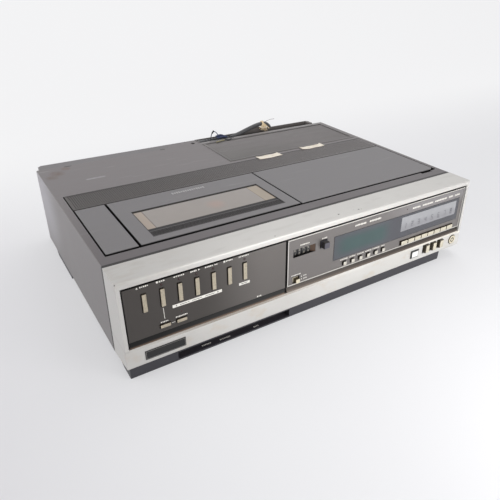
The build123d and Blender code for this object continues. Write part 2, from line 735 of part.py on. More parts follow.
def grille():
    """Louvred insert: a raised rim, tilted fins and three cross ribs."""
    x0, x1 = GRILLE_LEFT, GRILLE_RIGHT
    y0, y1 = back(GRILLE_FRONT), back(GRILLE_REAR)
    rim = block(x0, x1, y0, y1, TOP, TOP + GRILLE_RAISE)
    top_edges = rim.faces().sort_by(Axis.Z)[-1].edges()
    rim = chamfer(top_edges, 0.5)
    skirt = block(
        x0 + GRILLE_RIM, x1 - GRILLE_RIM, y0 + GRILLE_RIM, y1 - GRILLE_RIM, TOP - 7, TOP
    )
    frame = rim + skirt
    inset = GRILLE_RIM + GRILLE_SKIRT
    frame = frame - block(x0 + inset, x1 - inset, y0 + inset, y1 - inset, TOP - 8, TOP + 2)
    fins = []
    y = y0 + inset + FIN_PITCH / 2
    while y < y1 - inset:
        fin = Rot(FIN_TILT, 0, 0) * Box(x1 - x0 - 2 * inset + 1.0, FIN_CHORD, FIN_THICK)
        fins.append(Pos((x0 + x1) / 2, y, TOP - 1.3) * fin)
        y += FIN_PITCH
    ribs = [block(x - 1, x + 1, y0 + inset - 0.5, y1 - inset + 0.5, TOP - 6.5, TOP - 2.6)
            for x in (x0 + 60, (x0 + x1) / 2, x1 - 60)]
    return joined([frame] + fins + ribs)


def back_cover():
    """Rear cover: back plate with a box, a walled lead ledge, a socket bay and cooling slots."""
    half = WIDTH / 2 - WALL
    plate_y = back(CABINET_DEPTH - 2.0)
    box_y0 = back(CABINET_DEPTH)
    box_y1 = back(REAR_DEPTH)
    left, right = REAR_BOX
    sheet = 2.0
    ledge_wall = LEDGE_LEFT - sheet
    plate = block(-half, half, plate_y, box_y0, CABINET_FOOT + 0.6, TOP - WALL)
    box = block(left, right, box_y0, box_y1, BOX_FOOT, WALL_TOP)
    outer = box.edges().filter_by(Axis.Z).group_by(Axis.Y)[-1]
    box = chamfer(outer, 4.0)
    top_edge = box.faces().sort_by(Axis.Y)[-1].edges().filter_by(Axis.X).sort_by(Axis.Z)[-1:]
    box = fillet(top_edge, 0.7)
    box = box - block(left - 1, ledge_wall, box_y0 - 1, box_y1 + 1, TOP, WALL_TOP + 1)
    box = box - block(ledge_wall - 1, WALL_STEP_X, box_y0 - 1, box_y1 + 1, WALL_STEP_TOP, WALL_TOP + 1)
    cover = plate + box
    inside = box_y1 - sheet
    cover = cover - block(left + sheet, ledge_wall, plate_y - 1, inside, 16, TOP - 3.4)
    cover = cover - block(ledge_wall - 1, right - sheet, plate_y - 1, inside, 16, LEDGE_FLOOR - sheet)
    ledge_front = box_y1 - LEDGE_WALL
    cover = cover - block(LEDGE_LEFT, LEDGE_RIGHT, box_y0, ledge_front, LEDGE_FLOOR, WALL_TOP + 1)
    recess_rear = back(TAB_REAR) + BODY_GAP
    cover = cover - block(TAB[0] - BODY_GAP, ledge_wall, box_y0 - 1, recess_rear, TOP - TAB_THICK - 0.1, TOP + 1)
    bay_y = box_y1 - BAY_DEPTH
    bay_walls = block(54, 208, bay_y - sheet, box_y1 - 1, 20, 72)
    cover = (cover + bay_walls) - block(56, 206, bay_y, box_y1 + 1, 22, 70)
    places = GridLocations(36, 9, 5, 7)
    middle = Pos(-112, box_y1 + 1, 55) * Rot(90, 0, 0)
    slots = [middle * place * extrude(SlotOverall(30, 3.4), 5) for place in places]
    cover = cover - slots - Pos(TAB_SCREW[0], back(TAB_SCREW[1]), TOP) * Cylinder(2.0, 9)
    grommet = block(15, 25, box_y0 + 0.5, box_y0 + 4.0, LEDGE_FLOOR - 0.5, GROMMET_TOP)
    return cover + grommet + lead_saddle(box_y1)


def lead_saddle(rear_y):
    """Low rest for the lead on the ledge's rear wall, with sloping ends."""
    foot = TOP - 1.0
    x0, x1, x2, x3 = SADDLE
    outline = make_face(Polyline((x0, foot), (x1, SADDLE_TOP), (x2, SADDLE_TOP), (x3, foot), close=True))
    return Pos(0, rear_y, 0) * Rot(90, 0, 0) * extrude(outline, LEDGE_WALL)


def rear_sockets():
    """Two aerial sockets and four phono sockets in the bay at the back."""
    floor_y = back(REAR_DEPTH) - BAY_DEPTH
    pieces = []
    for x in (74, 98):
        base = Pos(x, floor_y, 46) * Rot(-90, 0, 0) * extrude(RectangleRounded(18, 22, 2), 1.6)
        body = Pos(x, floor_y, 46) * Rot(-90, 0, 0) * extrude(Circle(6.6), 8.4)
        bore = Pos(x, floor_y + 1.8, 46) * Rot(-90, 0, 0) * extrude(Circle(4.9), 9)
        pin = Pos(x, floor_y + 1, 46) * Rot(-90, 0, 0) * extrude(Circle(1.2), 6.5)
        pieces.append((base + body) - bore + pin)
    for x in (134, 152, 170, 188):
        base = Pos(x, floor_y, 46) * Rot(-90, 0, 0) * extrude(RectangleRounded(13, 16, 2), 1.4)
        body = Pos(x, floor_y, 46) * Rot(-90, 0, 0) * extrude(Circle(4.15), 8.6)
        bore = Pos(x, floor_y + 1.8, 46) * Rot(-90, 0, 0) * extrude(Circle(1.6), 9)
        pieces.append((base + body) - bore)
    return pieces


def lid_shell():
    """Cassette lid: skin with skirt, window opening, ribbed front band and hinge barrels."""
    y0, y1 = back(LID_FRONT), back(COVER_REAR)
    lid = block(LID_LEFT, LID_RIGHT, y0, y1, TOP - 10, TOP)
    top_edges = lid.faces().sort_by(Axis.Z)[-1].edges()
    lid = fillet(top_edges, 0.5)
    lid = lid - block(LID_LEFT + 2, LID_RIGHT - 2, y0 + 2, HINGE_Y, TOP - 11, HINGE_Z)
    lid = lid - block(LID_LEFT - 1, LID_RIGHT + 1, HINGE_Y - 1, y1 + 1, TOP - 11, HINGE_Z)
    band_rear = back(WINDOW_FRONT + BAND_DEPTH)
    window_rear = back(WINDOW_REAR)
    band = block(WINDOW_LEFT, WINDOW_RIGHT, back(WINDOW_FRONT), band_rear, TOP - 0.9, TOP + 1)
    rebate = block(WINDOW_LEFT, WINDOW_RIGHT, band_rear, window_rear, TOP - PANE_REBATE, TOP + 1)
    edge = 3.0
    hole = block(
        WINDOW_LEFT + edge, WINDOW_RIGHT - edge, band_rear + edge, window_rear - edge, TOP - 5, TOP
    )
    lid = lid - band - rebate - hole
    ribs = []
    y = back(WINDOW_FRONT) + 1.6
    while y < band_rear - 1.0:
        ribs.append(block(WINDOW_LEFT - 0.2, WINDOW_RIGHT + 0.2, y - 0.5, y + 0.5, TOP - 1.2, TOP - 0.3))
        y += 2.2
    pads = [
        block(x - 5, x + 5, back(d) - 5, back(d) + 5, HOLDER_TOP, HINGE_Z + 0.2)
        for x in (CASSETTE_X - 74, CASSETTE_X + 74)
        for d in (69.0, 144.0)
    ]
    return hinged(joined([lid] + ribs + pads), LID_LEFT, LID_RIGHT)


def window_pane():
    """Clear pane let into the lid."""
    y0, y1 = back(WINDOW_FRONT + BAND_DEPTH), back(WINDOW_REAR)
    return block(WINDOW_LEFT, WINDOW_RIGHT, y0, y1, TOP - PANE_REBATE, TOP - PANE_SUNK)


def cassette_holder():
    """Sheet carrier under the lid: top plate with springs, side channels and a flared mouth."""
    x0, x1 = CASSETTE_X - HOLDER_HALF, CASSETTE_X + HOLDER_HALF
    y0, y1 = back(60.5), back(158.5)
    sheet = HOLDER_SHEET
    pieces = [block(x0, x1, y0, y1, HOLDER_TOP - sheet, HOLDER_TOP)]
    mouth = [
        (y0 + 0.5, HOLDER_FOOT),
        (y0 - 2.5, HOLDER_FOOT - 2.0),
        (y0 - 2.5, HOLDER_FOOT - 0.6),
        (y0 + 0.5, HOLDER_FOOT + sheet),
    ]
    for x, side in ((x0, 1), (x1, -1)):
        wall = span(x, side, 0, sheet)
        lip = span(x, side, 0, HOLDER_LIP)
        pieces.append(block(*wall, y0, y1, HOLDER_FOOT, HOLDER_TOP))
        pieces.append(block(*lip, y0, y1, HOLDER_FOOT, HOLDER_FOOT + sheet))
        pieces.append(edge_profile(mouth, *lip))
    pieces.append(block(x0, x1, y1 - sheet, y1, HOLDER_TOP - 10, HOLDER_TOP))
    holder = joined(pieces)
    for offset in (-42, 42):
        spring = Pos(CASSETTE_X + offset, back(110), HOLDER_TOP)
        holder = holder - (spring * Box(9, 40, 8) - spring * Pos(0, -3, 0) * Box(6, 40, 9))
    return holder


def flap_shell():
    """Hinged flap over the tuning wells: skin, skirt, hinge barrels and a cut corner."""
    y0, y1 = back(FLAP_FRONT), back(COVER_REAR)
    flap = block(FLAP_LEFT, FLAP_RIGHT, y0, y1, TOP - 6, TOP)
    flap = flap - Pos(FLAP_RIGHT, y0, TOP - 3) * Rot(0, 0, 38) * Box(20, 5, 8)
    top_edges = flap.faces().sort_by(Axis.Z)[-1].edges()
    flap = fillet(top_edges, 0.5)
    flap = flap - block(FLAP_LEFT + 2, FLAP_RIGHT - 2, y0 + 5, HINGE_Y, TOP - 8, HINGE_Z)
    flap = flap - block(FLAP_LEFT - 1, FLAP_RIGHT + 1, HINGE_Y - 1, y1 + 1, TOP - 8, HINGE_Z)
    return hinged(flap, FLAP_LEFT, FLAP_RIGHT)


def tuner_tray():
    """Tray under the flap, with eight small tuning wheels standing in its bridge."""
    x0, x1 = LID_RIGHT + 1.4, WELL_RIGHT
    y0, y1 = back(WELL_FRONT), back(COVER_REAR + COVER_GAP)
    floor_z = TOP - 17.5
    tray = block(x0, x1, y0, y1, floor_z, TOP - 9.3)
    tray = tray - block(x0 + 1.4, x1 - 1.4, y0 + 1.4, y1 - 1.4, floor_z + 1.5, TOP)
    bridge = block(30, 212, back(92), back(122), floor_z + 1, floor_z + 5)
    tray = tray + bridge
    wheels = []
    for i in range(CHANNEL_COUNT):
        x = 44 + 22 * i
        tray = tray - block(x - 2.4, x + 2.4, back(99), back(115), floor_z + 1.5, floor_z + 6)
        wheel = Pos(x, back(107), floor_z + 6.3) * Rot(0, 90, 0) * Cylinder(4.8, 3.6)
        wheels.append(wheel)
    return [tray] + wheels


def deck_plate():
    """Mechanism deck on four legs, with the lower drum, tape guides and head blocks."""
    x0, x1 = -196.0, -2.0
    y0, y1 = back(56), back(288)
    z0 = DECK_TOP - DECK_SHEET
    plate = block(x0, x1, y0, y1, z0, DECK_TOP)
    plate = fillet(plate.edges().filter_by(Axis.Z), 6)
    legs = [block(x - 5, x + 5, y - 5, y + 5, CABINET_FOOT + 1.2, z0 + 0.5)
            for x in (x0 + 12, x1 - 12) for y in (y0 + 12, y1 - 12)]
    pins = []
    for x in (CASSETTE_X - REEL_SPACING / 2, CASSETTE_X + REEL_SPACING / 2):
        pins.append(rod(x, back(REEL_DEPTH), z0, DECK_TOP + 1.4, 5.0))
        pins.append(rod(x, back(REEL_DEPTH), DECK_TOP, DECK_TOP + 14, 2.0))
    bearing = rod(CAPSTAN_X, back(CAPSTAN_DEPTH), z0 - 5, DECK_TOP + 9, 5.0)
    deck = joined([plate] + legs + pins + [bearing])
    deck = deck - rod(CAPSTAN_X, back(CAPSTAN_DEPTH), z0 - 9, DECK_TOP + 12, 2.0 + RUN_CLEAR)
    lower = rod(CASSETTE_X, back(DRUM_DEPTH), DECK_TOP, DRUM_SPLIT, DRUM_RADIUS)
    lower = lower + rod(CASSETTE_X, back(DRUM_DEPTH), DRUM_SPLIT - 1, DRUM_TOP - 6, 3.0)
    guides = []
    for angle in (-160, -125, -55, -20):
        x = CASSETTE_X + 56 * math.cos(math.radians(angle))
        y = back(DRUM_DEPTH) + 56 * math.sin(math.radians(angle))
        post = rod(x, y, DECK_TOP, DECK_TOP + 24, 2.4)
        cap = rod(x, y, DECK_TOP + 24, DECK_TOP + 26, 4.0)
        foot = rod(x, y, DECK_TOP, DECK_TOP + 4, 4.6)
        guides.append(post + cap + foot)
    head = block(-52, -40, back(168), back(178), DECK_TOP, DECK_TOP + 20)
    return [deck, lower] + guides + [head]


def upper_drum():
    """Spinning upper drum with its hub, a weight-saving recess and two head windows."""
    x, y = CASSETTE_X, back(DRUM_DEPTH)
    base = DRUM_SPLIT + BODY_GAP
    drum = rod(x, y, base, DRUM_TOP, DRUM_RADIUS)
    recess = rod(x, y, DRUM_TOP - 4, DRUM_TOP + 1, DRUM_RADIUS - 6) - rod(x, y, 0, DRUM_TOP + 2, 12)
    drum = drum - recess - rod(x, y, base - 1, DRUM_TOP - 5.5, 3.0 + RUN_CLEAR)
    windows = [Pos(x + side * DRUM_RADIUS, y, base) * Box(4, 5, 4) for side in (-1, 1)]
    return drum - windows


def reel(side):
    """Reel table with a splined spindle that enters the cassette hub."""
    x = CASSETTE_X + side * REEL_SPACING / 2
    y = back(REEL_DEPTH)
    base = DECK_TOP + 1.4 + BODY_GAP
    table = rod(x, y, base, base + 4, REEL_RADIUS)
    table = table + rod(x, y, base + 4, base + 6, 16.0)
    spindle = rod(x, y, base + 4, 86.0, 5.0)
    fins = [Pos(x, y, 78) * Rot(0, 0, 120 * i) * Pos(5.4, 0, 0) * Box(4.0, 2.2, 12) for i in range(3)]
    solid = joined([table, spindle] + fins)
    return solid - rod(x, y, base - 1, DECK_TOP + 15, 2.0 + RUN_CLEAR)


def capstan():
    """Capstan shaft with its flywheel under the deck."""
    y = back(CAPSTAN_DEPTH)
    wheel = rod(CAPSTAN_X, y, 42, 50, 30.0)
    groove = rod(CAPSTAN_X, y, 44.5, 47.5, 32) - rod(CAPSTAN_X, y, 44.5, 47.5, 28.6)
    return (wheel - groove) + rod(CAPSTAN_X, y, 45, DECK_TOP + 30, 2.0)


def board_group():
    """Main circuit board on standoffs with its cans, coolers and the mains transformer."""
    z = 24.0
    board = block(18, 224, back(62), back(226), z, z + 1.6)
    holes = [Pos(120 + 52 * i, back(144 + 40 * j), z) * Cylinder(3, 6) for i in (-1, 1) for j in (-1, 1)]
    board = board - holes
    floor_z = CABINET_FOOT + 1.2
    posts = [rod(x, y, floor_z, z, 3.0) for x in (26, 216) for y in (back(70), back(218))]
    pieces = [joined([board] + posts)]
    cans = ((40, 92, 8, 24), (62, 96, 8, 24), (44, 130, 6, 16), (196, 96, 9, 28))
    for x, d, radius, height in cans:
        pieces.append(rod(x, back(d), z + 1.6, z + 1.6 + height, radius))
    pieces.append(block(140, 190, back(160), back(196), z + 1.6, z + 20))
    pieces.append(block(84, 126, back(84), back(112), z + 1.6, z + 16))
    cooler = block(30, 110, back(200), back(202), z + 1.6, z + 42)
    vanes = [block(x, x + 1.4, back(201), back(212), z + 1.6, z + 42) for x in range(32, 110, 9)]
    cooler = joined([cooler] + vanes)
    pieces.append(cooler)
    core = block(146, 212, back(240), back(292), floor_z, 58)
    coil = block(158, 200, back(234), back(298), floor_z + 8, 50)
    pieces.append(core + coil)
    return pieces


def bush():
    """Tapered strain relief where the mains lead leaves the end wall of the ledge."""
    along = Pos(*LEAD_EXIT) * Rot(0, 90, 0)
    from_end = (Align.CENTER, Align.CENTER, Align.MIN)
    sleeve = along * Cone(4.6, 3.8, BUSH_LENGTH, align=from_end)
    for i in range(6):
        ring = Cylinder(6, 1.4, align=from_end) - Cylinder(3.5, 1.4, align=from_end)
        sleeve = sleeve - along * Pos(0, 0, 12 + 5 * i) * ring
    return sleeve


def route_path(points):
    """Straight runs joined by tangent arcs, as large as the runs allow."""
    vectors = [Vector(*p) for p in points]
    radii = []
    for before, here, after in zip(vectors, vectors[1:], vectors[2:]):
        turn = math.radians((here - before).get_angle(after - here))
        shorter = min((here - before).length, (after - here).length)
        radii.append(0.45 * shorter / math.tan(turn / 2))
    print("arc radii", [round(r, 1) for r in radii])
    return FilletPolyline(*points, radius=radii)


def cord_tube(points, radius):
    """Round cord along a route, starting square to its first run."""
    path = route_path(points)
    start = Plane(origin=path @ 0, z_dir=path % 0)
    tube = sweep(start * Circle(radius), path=path)
    expected = math.pi * radius ** 2 * path.length
    print("cord length", round(path.length), "volume", round(tube.volume), "expected", round(expected))
    return tube


REAR_Y = back(REAR_DEPTH)
LEAD_EXIT = (LEDGE_LEFT, LEAD_Y, LEDGE_FLOOR + 5.2)
LEAD_ROUTE = [
    (LEDGE_LEFT + BUSH_LENGTH, LEAD_Y, LEDGE_FLOOR + 5.2),
    (57.0, LEAD_Y, LEDGE_FLOOR + 5.2),
    (75.5, 160.6, 107.9),
    (94.0, 160.9, 113.6),
    (112.0, 161.9, 117.9),
    (131.2, 167.0, 116.9),
    (146.5, 175.2, 105.8),
    (154.6, 180.0, 86.0),
    (157.6, 183.2, 62.0),
    (156.8, 185.8, 38.0),
    (152.8, 195.6, 16.8),
    (148.0, 214.0, 4.8),
    (142.4, 235.5, 3.4),
]
BLUE_RADIUS = 0.6
BLUE_ROUTE = [
    (18.72, 153.0, GROMMET_TOP),
    (20.2, 153.0, 112.5),
    (22.6, 153.0, 120.4),
    (28.6, 153.0, 121.0),
    (32.6, 153.0, 114.6),
    (39.4, 153.0, 112.6),
    (45.2, 153.0, 108.8),
]


def coil_ring():
    """Outer shape of the wound-up lead lying on the floor, with its straight tail to the plug."""
    x, y = COIL_CENTRE
    ring = rod(x, y, 0, 4 * LEAD_RADIUS, COIL_OUTER) - rod(x, y, -1, 20, COIL_INNER)
    x0, x1 = PLUG_X + BOOT_END, x - 16
    tail = Pos((x0 + x1) / 2, TAIL_Y, PLUG_HEIGHT) * Rot(0, 90, 0) * Cylinder(LEAD_RADIUS, x1 - x0)
    return ring + tail


def mains_plug():
    """Slim two-pin plug lying flat beside the coil, its cable boot towards the coil."""
    body = extrude(RectangleRounded(34, 26, 5), PLUG_HEIGHT, both=True)
    body = fillet(body.faces().sort_by(Axis.Z)[-1].edges(), 2.0)
    across = Rot(0, 90, 0)
    boot = Pos(BOOT_END - 4, 0, 0) * across * Cone(4.6, 3.6, 8)
    pins = [Pos(-26, side * 9.5, 0) * across * Cylinder(2.0, 19) for side in (-1, 1)]
    return Pos(PLUG_X, TAIL_Y, PLUG_HEIGHT) * joined([body, boot] + pins)


FRONT_PIECES = {
    "front_bezel": [bezel()],
    "left_fascia": [left_panel()],
    "right_fascia": [right_panel()],
    "plinth": [plinth()],
}
for name, solids in FRONT_PIECES.items():
    save(name, *solids)

front = -FASCIA_RECESS
dx0, dx1, dz0, dz1 = DISPLAY
cx0, cx1, cz0, cz1 = CHANNEL_PANEL
lens = face_block(dx0, dx1, up(dz0), up(dz1), front - 2.0, front + 0.2)
panel_hole = face_block(cx0, cx1, up(cz0), up(cz1), front - 9, front + 2)
save("display_window", lens - panel_hole)
save("channel_lens", face_block(cx0, cx1, up(cz0), up(cz1), front - 2.0, front + 0.1))

save("top_cover", case_shell())
save("base_pan", bottom_tray())
save("rear_feet", *rear_feet())
save("left_top_cover", blank_cover())
save("ribbed_strip", ribbed_strip())
save("vent_grille", grille())
save("rear_cover", back_cover())
save("rear_sockets", *rear_sockets())
save("deck_plate", *deck_plate())
save("main_board", *board_group())
save("tuner_tray", *tuner_tray())

save("cassette_lid", lid_shell())
save("lid_window", window_pane())
save("cassette_holder", cassette_holder())
save("tuner_flap", flap_shell())
save("head_drum", upper_drum())
save("supply_reel", reel(-1))
save("takeup_reel", reel(1))
save("capstan", capstan())

KEY_NAMES = ["eject", "record", "rewind", "play", "forward", "stop", "pause"]
for name, x in zip(KEY_NAMES, KEY_XS):
    save(f"{name}_key", push_key(x, KEY_HEIGHT, KEY_SIZE, KEY_PROUD))
for name, x in zip(("lock", "audio"), SMALL_KEY_X):
    save(f"{name}_key", push_key(x, SMALL_KEY_HEIGHT, SMALL_KEY_SIZE, KEY_PROUD))
for i, x in enumerate(CLOCK_XS):
    save(f"clock_key_{i + 1}", push_key(x, CLOCK_HEIGHT, CLOCK_SIZE, CLOCK_PROUD))
for i, x in enumerate(CHANNEL_XS):
    save(f"channel_key_{i + 1}", push_key(x, CHANNEL_HEIGHT, CHANNEL_SIZE, CHANNEL_PROUD, side=0))
save("reset_key", reset_key())
save("power_key", round_power_key())
save("timer_knob", timer_knob())
for i, x in enumerate(RAIL_KNOB_X):
    save(f"slide_knob_{i + 1}", slide_knob(x))
save("counter_wheels", number_wheels())

save("mains_bush", bush())
save("mains_lead", cord_tube(LEAD_ROUTE, LEAD_RADIUS))
save("lead_coil", coil_ring())
save("mains_plug", mains_plug())
save("blue_wire", cord_tube(BLUE_ROUTE, BLUE_RADIUS))
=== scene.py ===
# %% [markdown]
# # Dressing a top-loading cassette recorder
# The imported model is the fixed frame: every metal and plastic piece already has its size and its
# place. This lesson adds the camera, the light, the cords, the printed marks and the finish of
# every surface. We load the frame first and never move it.

# %% Load the fixed frame
import math
import random

import bmesh
import bpy
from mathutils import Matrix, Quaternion, Vector


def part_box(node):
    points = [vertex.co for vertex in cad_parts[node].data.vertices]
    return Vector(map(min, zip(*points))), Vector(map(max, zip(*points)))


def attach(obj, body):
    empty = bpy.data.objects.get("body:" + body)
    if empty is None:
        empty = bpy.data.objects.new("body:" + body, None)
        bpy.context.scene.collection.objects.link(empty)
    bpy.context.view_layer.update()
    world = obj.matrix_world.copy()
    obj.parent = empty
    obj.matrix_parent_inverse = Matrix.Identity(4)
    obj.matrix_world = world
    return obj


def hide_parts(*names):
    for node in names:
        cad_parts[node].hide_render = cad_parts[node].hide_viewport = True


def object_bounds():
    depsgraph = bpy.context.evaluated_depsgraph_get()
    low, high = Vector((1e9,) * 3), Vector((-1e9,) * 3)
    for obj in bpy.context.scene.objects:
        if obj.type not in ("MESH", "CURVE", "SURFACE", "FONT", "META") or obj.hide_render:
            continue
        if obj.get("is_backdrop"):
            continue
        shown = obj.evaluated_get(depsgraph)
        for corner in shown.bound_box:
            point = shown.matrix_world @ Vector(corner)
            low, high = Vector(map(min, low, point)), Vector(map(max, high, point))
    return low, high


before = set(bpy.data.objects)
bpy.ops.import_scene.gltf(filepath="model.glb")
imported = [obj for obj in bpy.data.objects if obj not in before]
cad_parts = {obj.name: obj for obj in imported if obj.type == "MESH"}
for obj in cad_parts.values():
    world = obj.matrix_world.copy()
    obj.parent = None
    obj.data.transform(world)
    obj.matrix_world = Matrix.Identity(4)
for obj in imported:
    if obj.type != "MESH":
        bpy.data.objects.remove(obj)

for leftover in ("Cube", "Light", "Camera"):
    if leftover in bpy.data.objects:
        bpy.data.objects.remove(bpy.data.objects[leftover])
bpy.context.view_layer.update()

# %% [markdown]
# ## One set of rulers
# Blender counts in metres and the drawings in millimetres, so every size below is written in
# millimetres and multiplied by MM. Most details sit on two surfaces: the front face, which leans
# back a little, and the flat top. A small function for each turns "so far along, so high, so far
# proud" into a point, and the details can then be drawn flat, as a printer would draw them. The
# panels lie a little behind the face, at PANEL.

# %% Rulers for the leaning face and for the top
MM = 0.001
TOP = 107.5
FRONT = -156
LEAN = math.atan(0.0588)
PANEL = -1.2


def on_face(x, height, proud):
    """Point on the leaning front face: along, above the floor, and out of the face."""
    down = (height - TOP) / math.cos(LEAN)
    y = FRONT + math.sin(LEAN) * down - math.cos(LEAN) * proud
    z = height + math.sin(LEAN) * proud
    return Vector((x, y, z)) * MM


def on_top(x, depth, proud):
    """Point on the flat top: along, behind the front edge, and above the top."""
    return Vector((x, FRONT + depth, TOP + proud)) * MM


print("foot of the face", [round(v, 4) for v in on_face(0, 0, 0)])

# %% [markdown]
# ## The camera
# The portrait was taken from the front left, a little above the case, with a short lens. The
# camera's place is in the frame's own axes. Its turn is given as a photographer would say it:
# how far round, how far above the horizon, and a slight tilt of the hand.

# %% Place the camera
def looking_back(azimuth, elevation, roll=0):
    """Turn of something that stands at this bearing and looks to the middle."""
    around, above = math.radians(azimuth), math.radians(elevation)
    level = math.cos(above)
    back = Vector((math.sin(around) * level, -math.cos(around) * level, math.sin(above)))
    return (-back).to_track_quat("-Z", "Y") @ Quaternion((0, 0, 1), math.radians(roll))


lens = bpy.data.cameras.new("portrait_camera")
lens.sensor_width = 36
lens.lens = 35.35
camera = bpy.data.objects.new("portrait_camera", lens)
camera.location = Vector((-330.33, -509.72, 349.96)) * MM
camera.rotation_mode = "QUATERNION"
camera.rotation_quaternion = looking_back(-32.849, 30.444, 1.319)
bpy.context.collection.objects.link(camera)
bpy.context.scene.camera = camera
print("camera at", [round(v, 3) for v in camera.location], "lens", lens.lens)

# %% [markdown]
# ## The cords
# A cord is one smooth line with a round section, so a NURBS curve with a bevel is the natural
# way to make it. The points are the corners of the route that the frame's own solids follow, and
# the spline cuts inside them as a real cord would. The mains lead leaves a rubber bush in the
# ledge behind the top, rises in a hump, drops behind the case and is wound up on the floor.

# %% A cord from the corners of its route
def make_cord(name, corners, diameter):
    """Round cord on one NURBS line through these corners, given in millimetres."""
    curve = bpy.data.curves.new(name, "CURVE")
    curve.dimensions = "3D"
    line = curve.splines.new("NURBS")
    line.points.add(len(corners) - 1)
    for point, corner in zip(line.points, corners):
        point.co = (*(Vector(corner) * MM), 1)
        point.radius = diameter * MM / 2
    line.order_u = 3
    line.use_endpoint_u = True
    curve.resolution_u = 8
    curve.bevel_depth = 1
    curve.bevel_resolution = 5
    curve.use_fill_caps = True
    cord = bpy.data.objects.new(name, curve)
    bpy.context.collection.objects.link(cord)
    return cord


def centreline(cord):
    """Points along the middle of a cord, read from its own NURBS line."""
    cord.data.bevel_depth = 0
    bpy.context.view_layer.update()
    mesh = bpy.data.meshes.new_from_object(cord)
    points = [cord.matrix_world @ v.co for v in mesh.vertices]
    bpy.data.meshes.remove(mesh)
    cord.data.bevel_depth = 1
    return points


def length_of(points):
    """Length of a chain of points."""
    return sum((b - a).length for a, b in zip(points, points[1:]))


# %% [markdown]
# The lead is as long as such a recorder's usually is. What the portrait doesn't show is wound
# into a flat coil: the lower layer runs inwards, climbs at the inside, and the upper layer runs
# out again and ends in the plug. A spiral keeps each turn one cord's width from the next.

# %% The mains lead
LEAD_DIAMETER = 6.5
LEAD_ROUTE = [
    (47, 160.6, 103.8),
    (57, 160.6, 103.8),
    (75.5, 160.6, 107.9),
    (94, 160.9, 113.6),
    (112, 161.9, 117.9),
    (131.2, 167, 116.9),
    (146.5, 175.2, 105.8),
    (154.6, 180, 86),
    (157.6, 183.2, 62),
    (156.8, 185.8, 38),
    (152.8, 195.6, 16.8),
    (148, 214, 4.8),
    (142.4, 235.5, 3.5),
]
COIL_CENTRE = Vector((92, 222, 0))
COIL_OUTER = 46.4
TURN_PITCH = 6.7
STEPS_PER_TURN = 18
LOWER_TURNS = 3
CLIMB_TURNS = 0.4
ALL_TURNS = 6.15
FIRST_ANGLE = 35


def coil_point(turn):
    """Point of the wound-up lead after this many turns."""
    inner = COIL_OUTER - TURN_PITCH * LOWER_TURNS
    climb = min(max((turn - LOWER_TURNS) / CLIMB_TURNS, 0), 1)
    climb = climb * climb * (3 - 2 * climb)
    if turn < LOWER_TURNS:
        radius = COIL_OUTER - TURN_PITCH * turn
    else:
        radius = inner + TURN_PITCH * max(turn - LOWER_TURNS - CLIMB_TURNS, 0)
    angle = math.radians(FIRST_ANGLE + 360 * turn)
    lift = 3.5 + LEAD_DIAMETER * climb
    return COIL_CENTRE + Vector((radius * math.cos(angle), radius * math.sin(angle), lift))


steps = int(ALL_TURNS * STEPS_PER_TURN)
coil_corners = [coil_point(ALL_TURNS * i / steps) for i in range(steps + 1)]
PLUG_TAIL = [(80, 267.5, 9.9), (70, 267.5, 8.4), (62, 267.5, 6.8), (52, 267.5, 6.6)]
mains_cord = make_cord("mains_cord", LEAD_ROUTE + coil_corners + PLUG_TAIL, LEAD_DIAMETER)
lead_line = centreline(mains_cord)
lead_length = length_of(lead_line)
print("mains lead", round(lead_length, 3), "m")

# %% The thin blue wire
BLUE_DIAMETER = 1.2
BLUE_ROUTE = [
    (18.7, 153, 106.5),
    (20.2, 153, 112.5),
    (22.6, 153, 120.4),
    (28.6, 153, 121),
    (32.6, 153, 114.6),
    (39.4, 153, 112.6),
    (45.2, 153, 108.8),
]
blue_cord = make_cord("blue_cord", BLUE_ROUTE, BLUE_DIAMETER)
blue_length = length_of(centreline(blue_cord))
print("blue wire", round(blue_length, 4), "m")

# %% [markdown]
# ## Small pieces beside the frame
# The frame's own solids stay as they are. What is too thin or too soft for them, such as ink, old
# tape or a twist of string, becomes a mesh of its own. Each one rides on the body that carries it,
# so that it moves along when a key is pressed or a wheel turns.

# %% A mesh piece that rides on a body
def new_piece(name, corners, faces, body="chassis", smooth=False):
    """Mesh from corners and faces, faces turned outwards, riding on a body of the frame."""
    mesh = bpy.data.meshes.new(name)
    mesh.from_pydata(corners, [], faces)
    work = bmesh.new()
    work.from_mesh(mesh)
    bmesh.ops.recalc_face_normals(work, faces=work.faces)
    work.to_mesh(mesh)
    work.free()
    mesh.polygons.foreach_set("use_smooth", [smooth] * len(mesh.polygons))
    piece = bpy.data.objects.new(name, mesh)
    bpy.context.collection.objects.link(piece)
    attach(piece, body)
    print(name, len(faces), "faces on", body)
    return piece


# %% [markdown]
# ## Printed marks
# The panels are screen-printed in pale ink: rows of small blocks beside the keys, and the arrows,
# dot, square and bars that all tape machines share. Ink is a flat outline raised a twentieth of a
# millimetre. All marks of one colour on one panel share a mesh, which keeps the list of pieces short.

# %% Outlines for flat marks
def bar(x0, x1, low, high):
    """Upright rectangle."""
    return [(x0, low), (x1, low), (x1, high), (x0, high)]


def dash(x0, x1, height, thick=0.9):
    """Level dash."""
    return bar(x0, x1, height - thick / 2, height + thick / 2)


def words(x0, x1, height, tall=1.5, step=1.7):
    """Row of small blocks of ink."""
    count = max(2, round((x1 - x0) / step))
    step = (x1 - x0) / count
    rows = []
    for i in range(count):
        reach = tall * (0.5 - 0.12 * (i % 3 == 1))
        rows.append(bar(x0 + step * i, x0 + step * (i + 0.68), height - reach, height + reach))
    return rows


def disc(x, height, radius, corners=14):
    """Round dot."""
    turns = [2 * math.pi * i / corners for i in range(corners)]
    return [(x + radius * math.cos(t), height + radius * math.sin(t)) for t in turns]


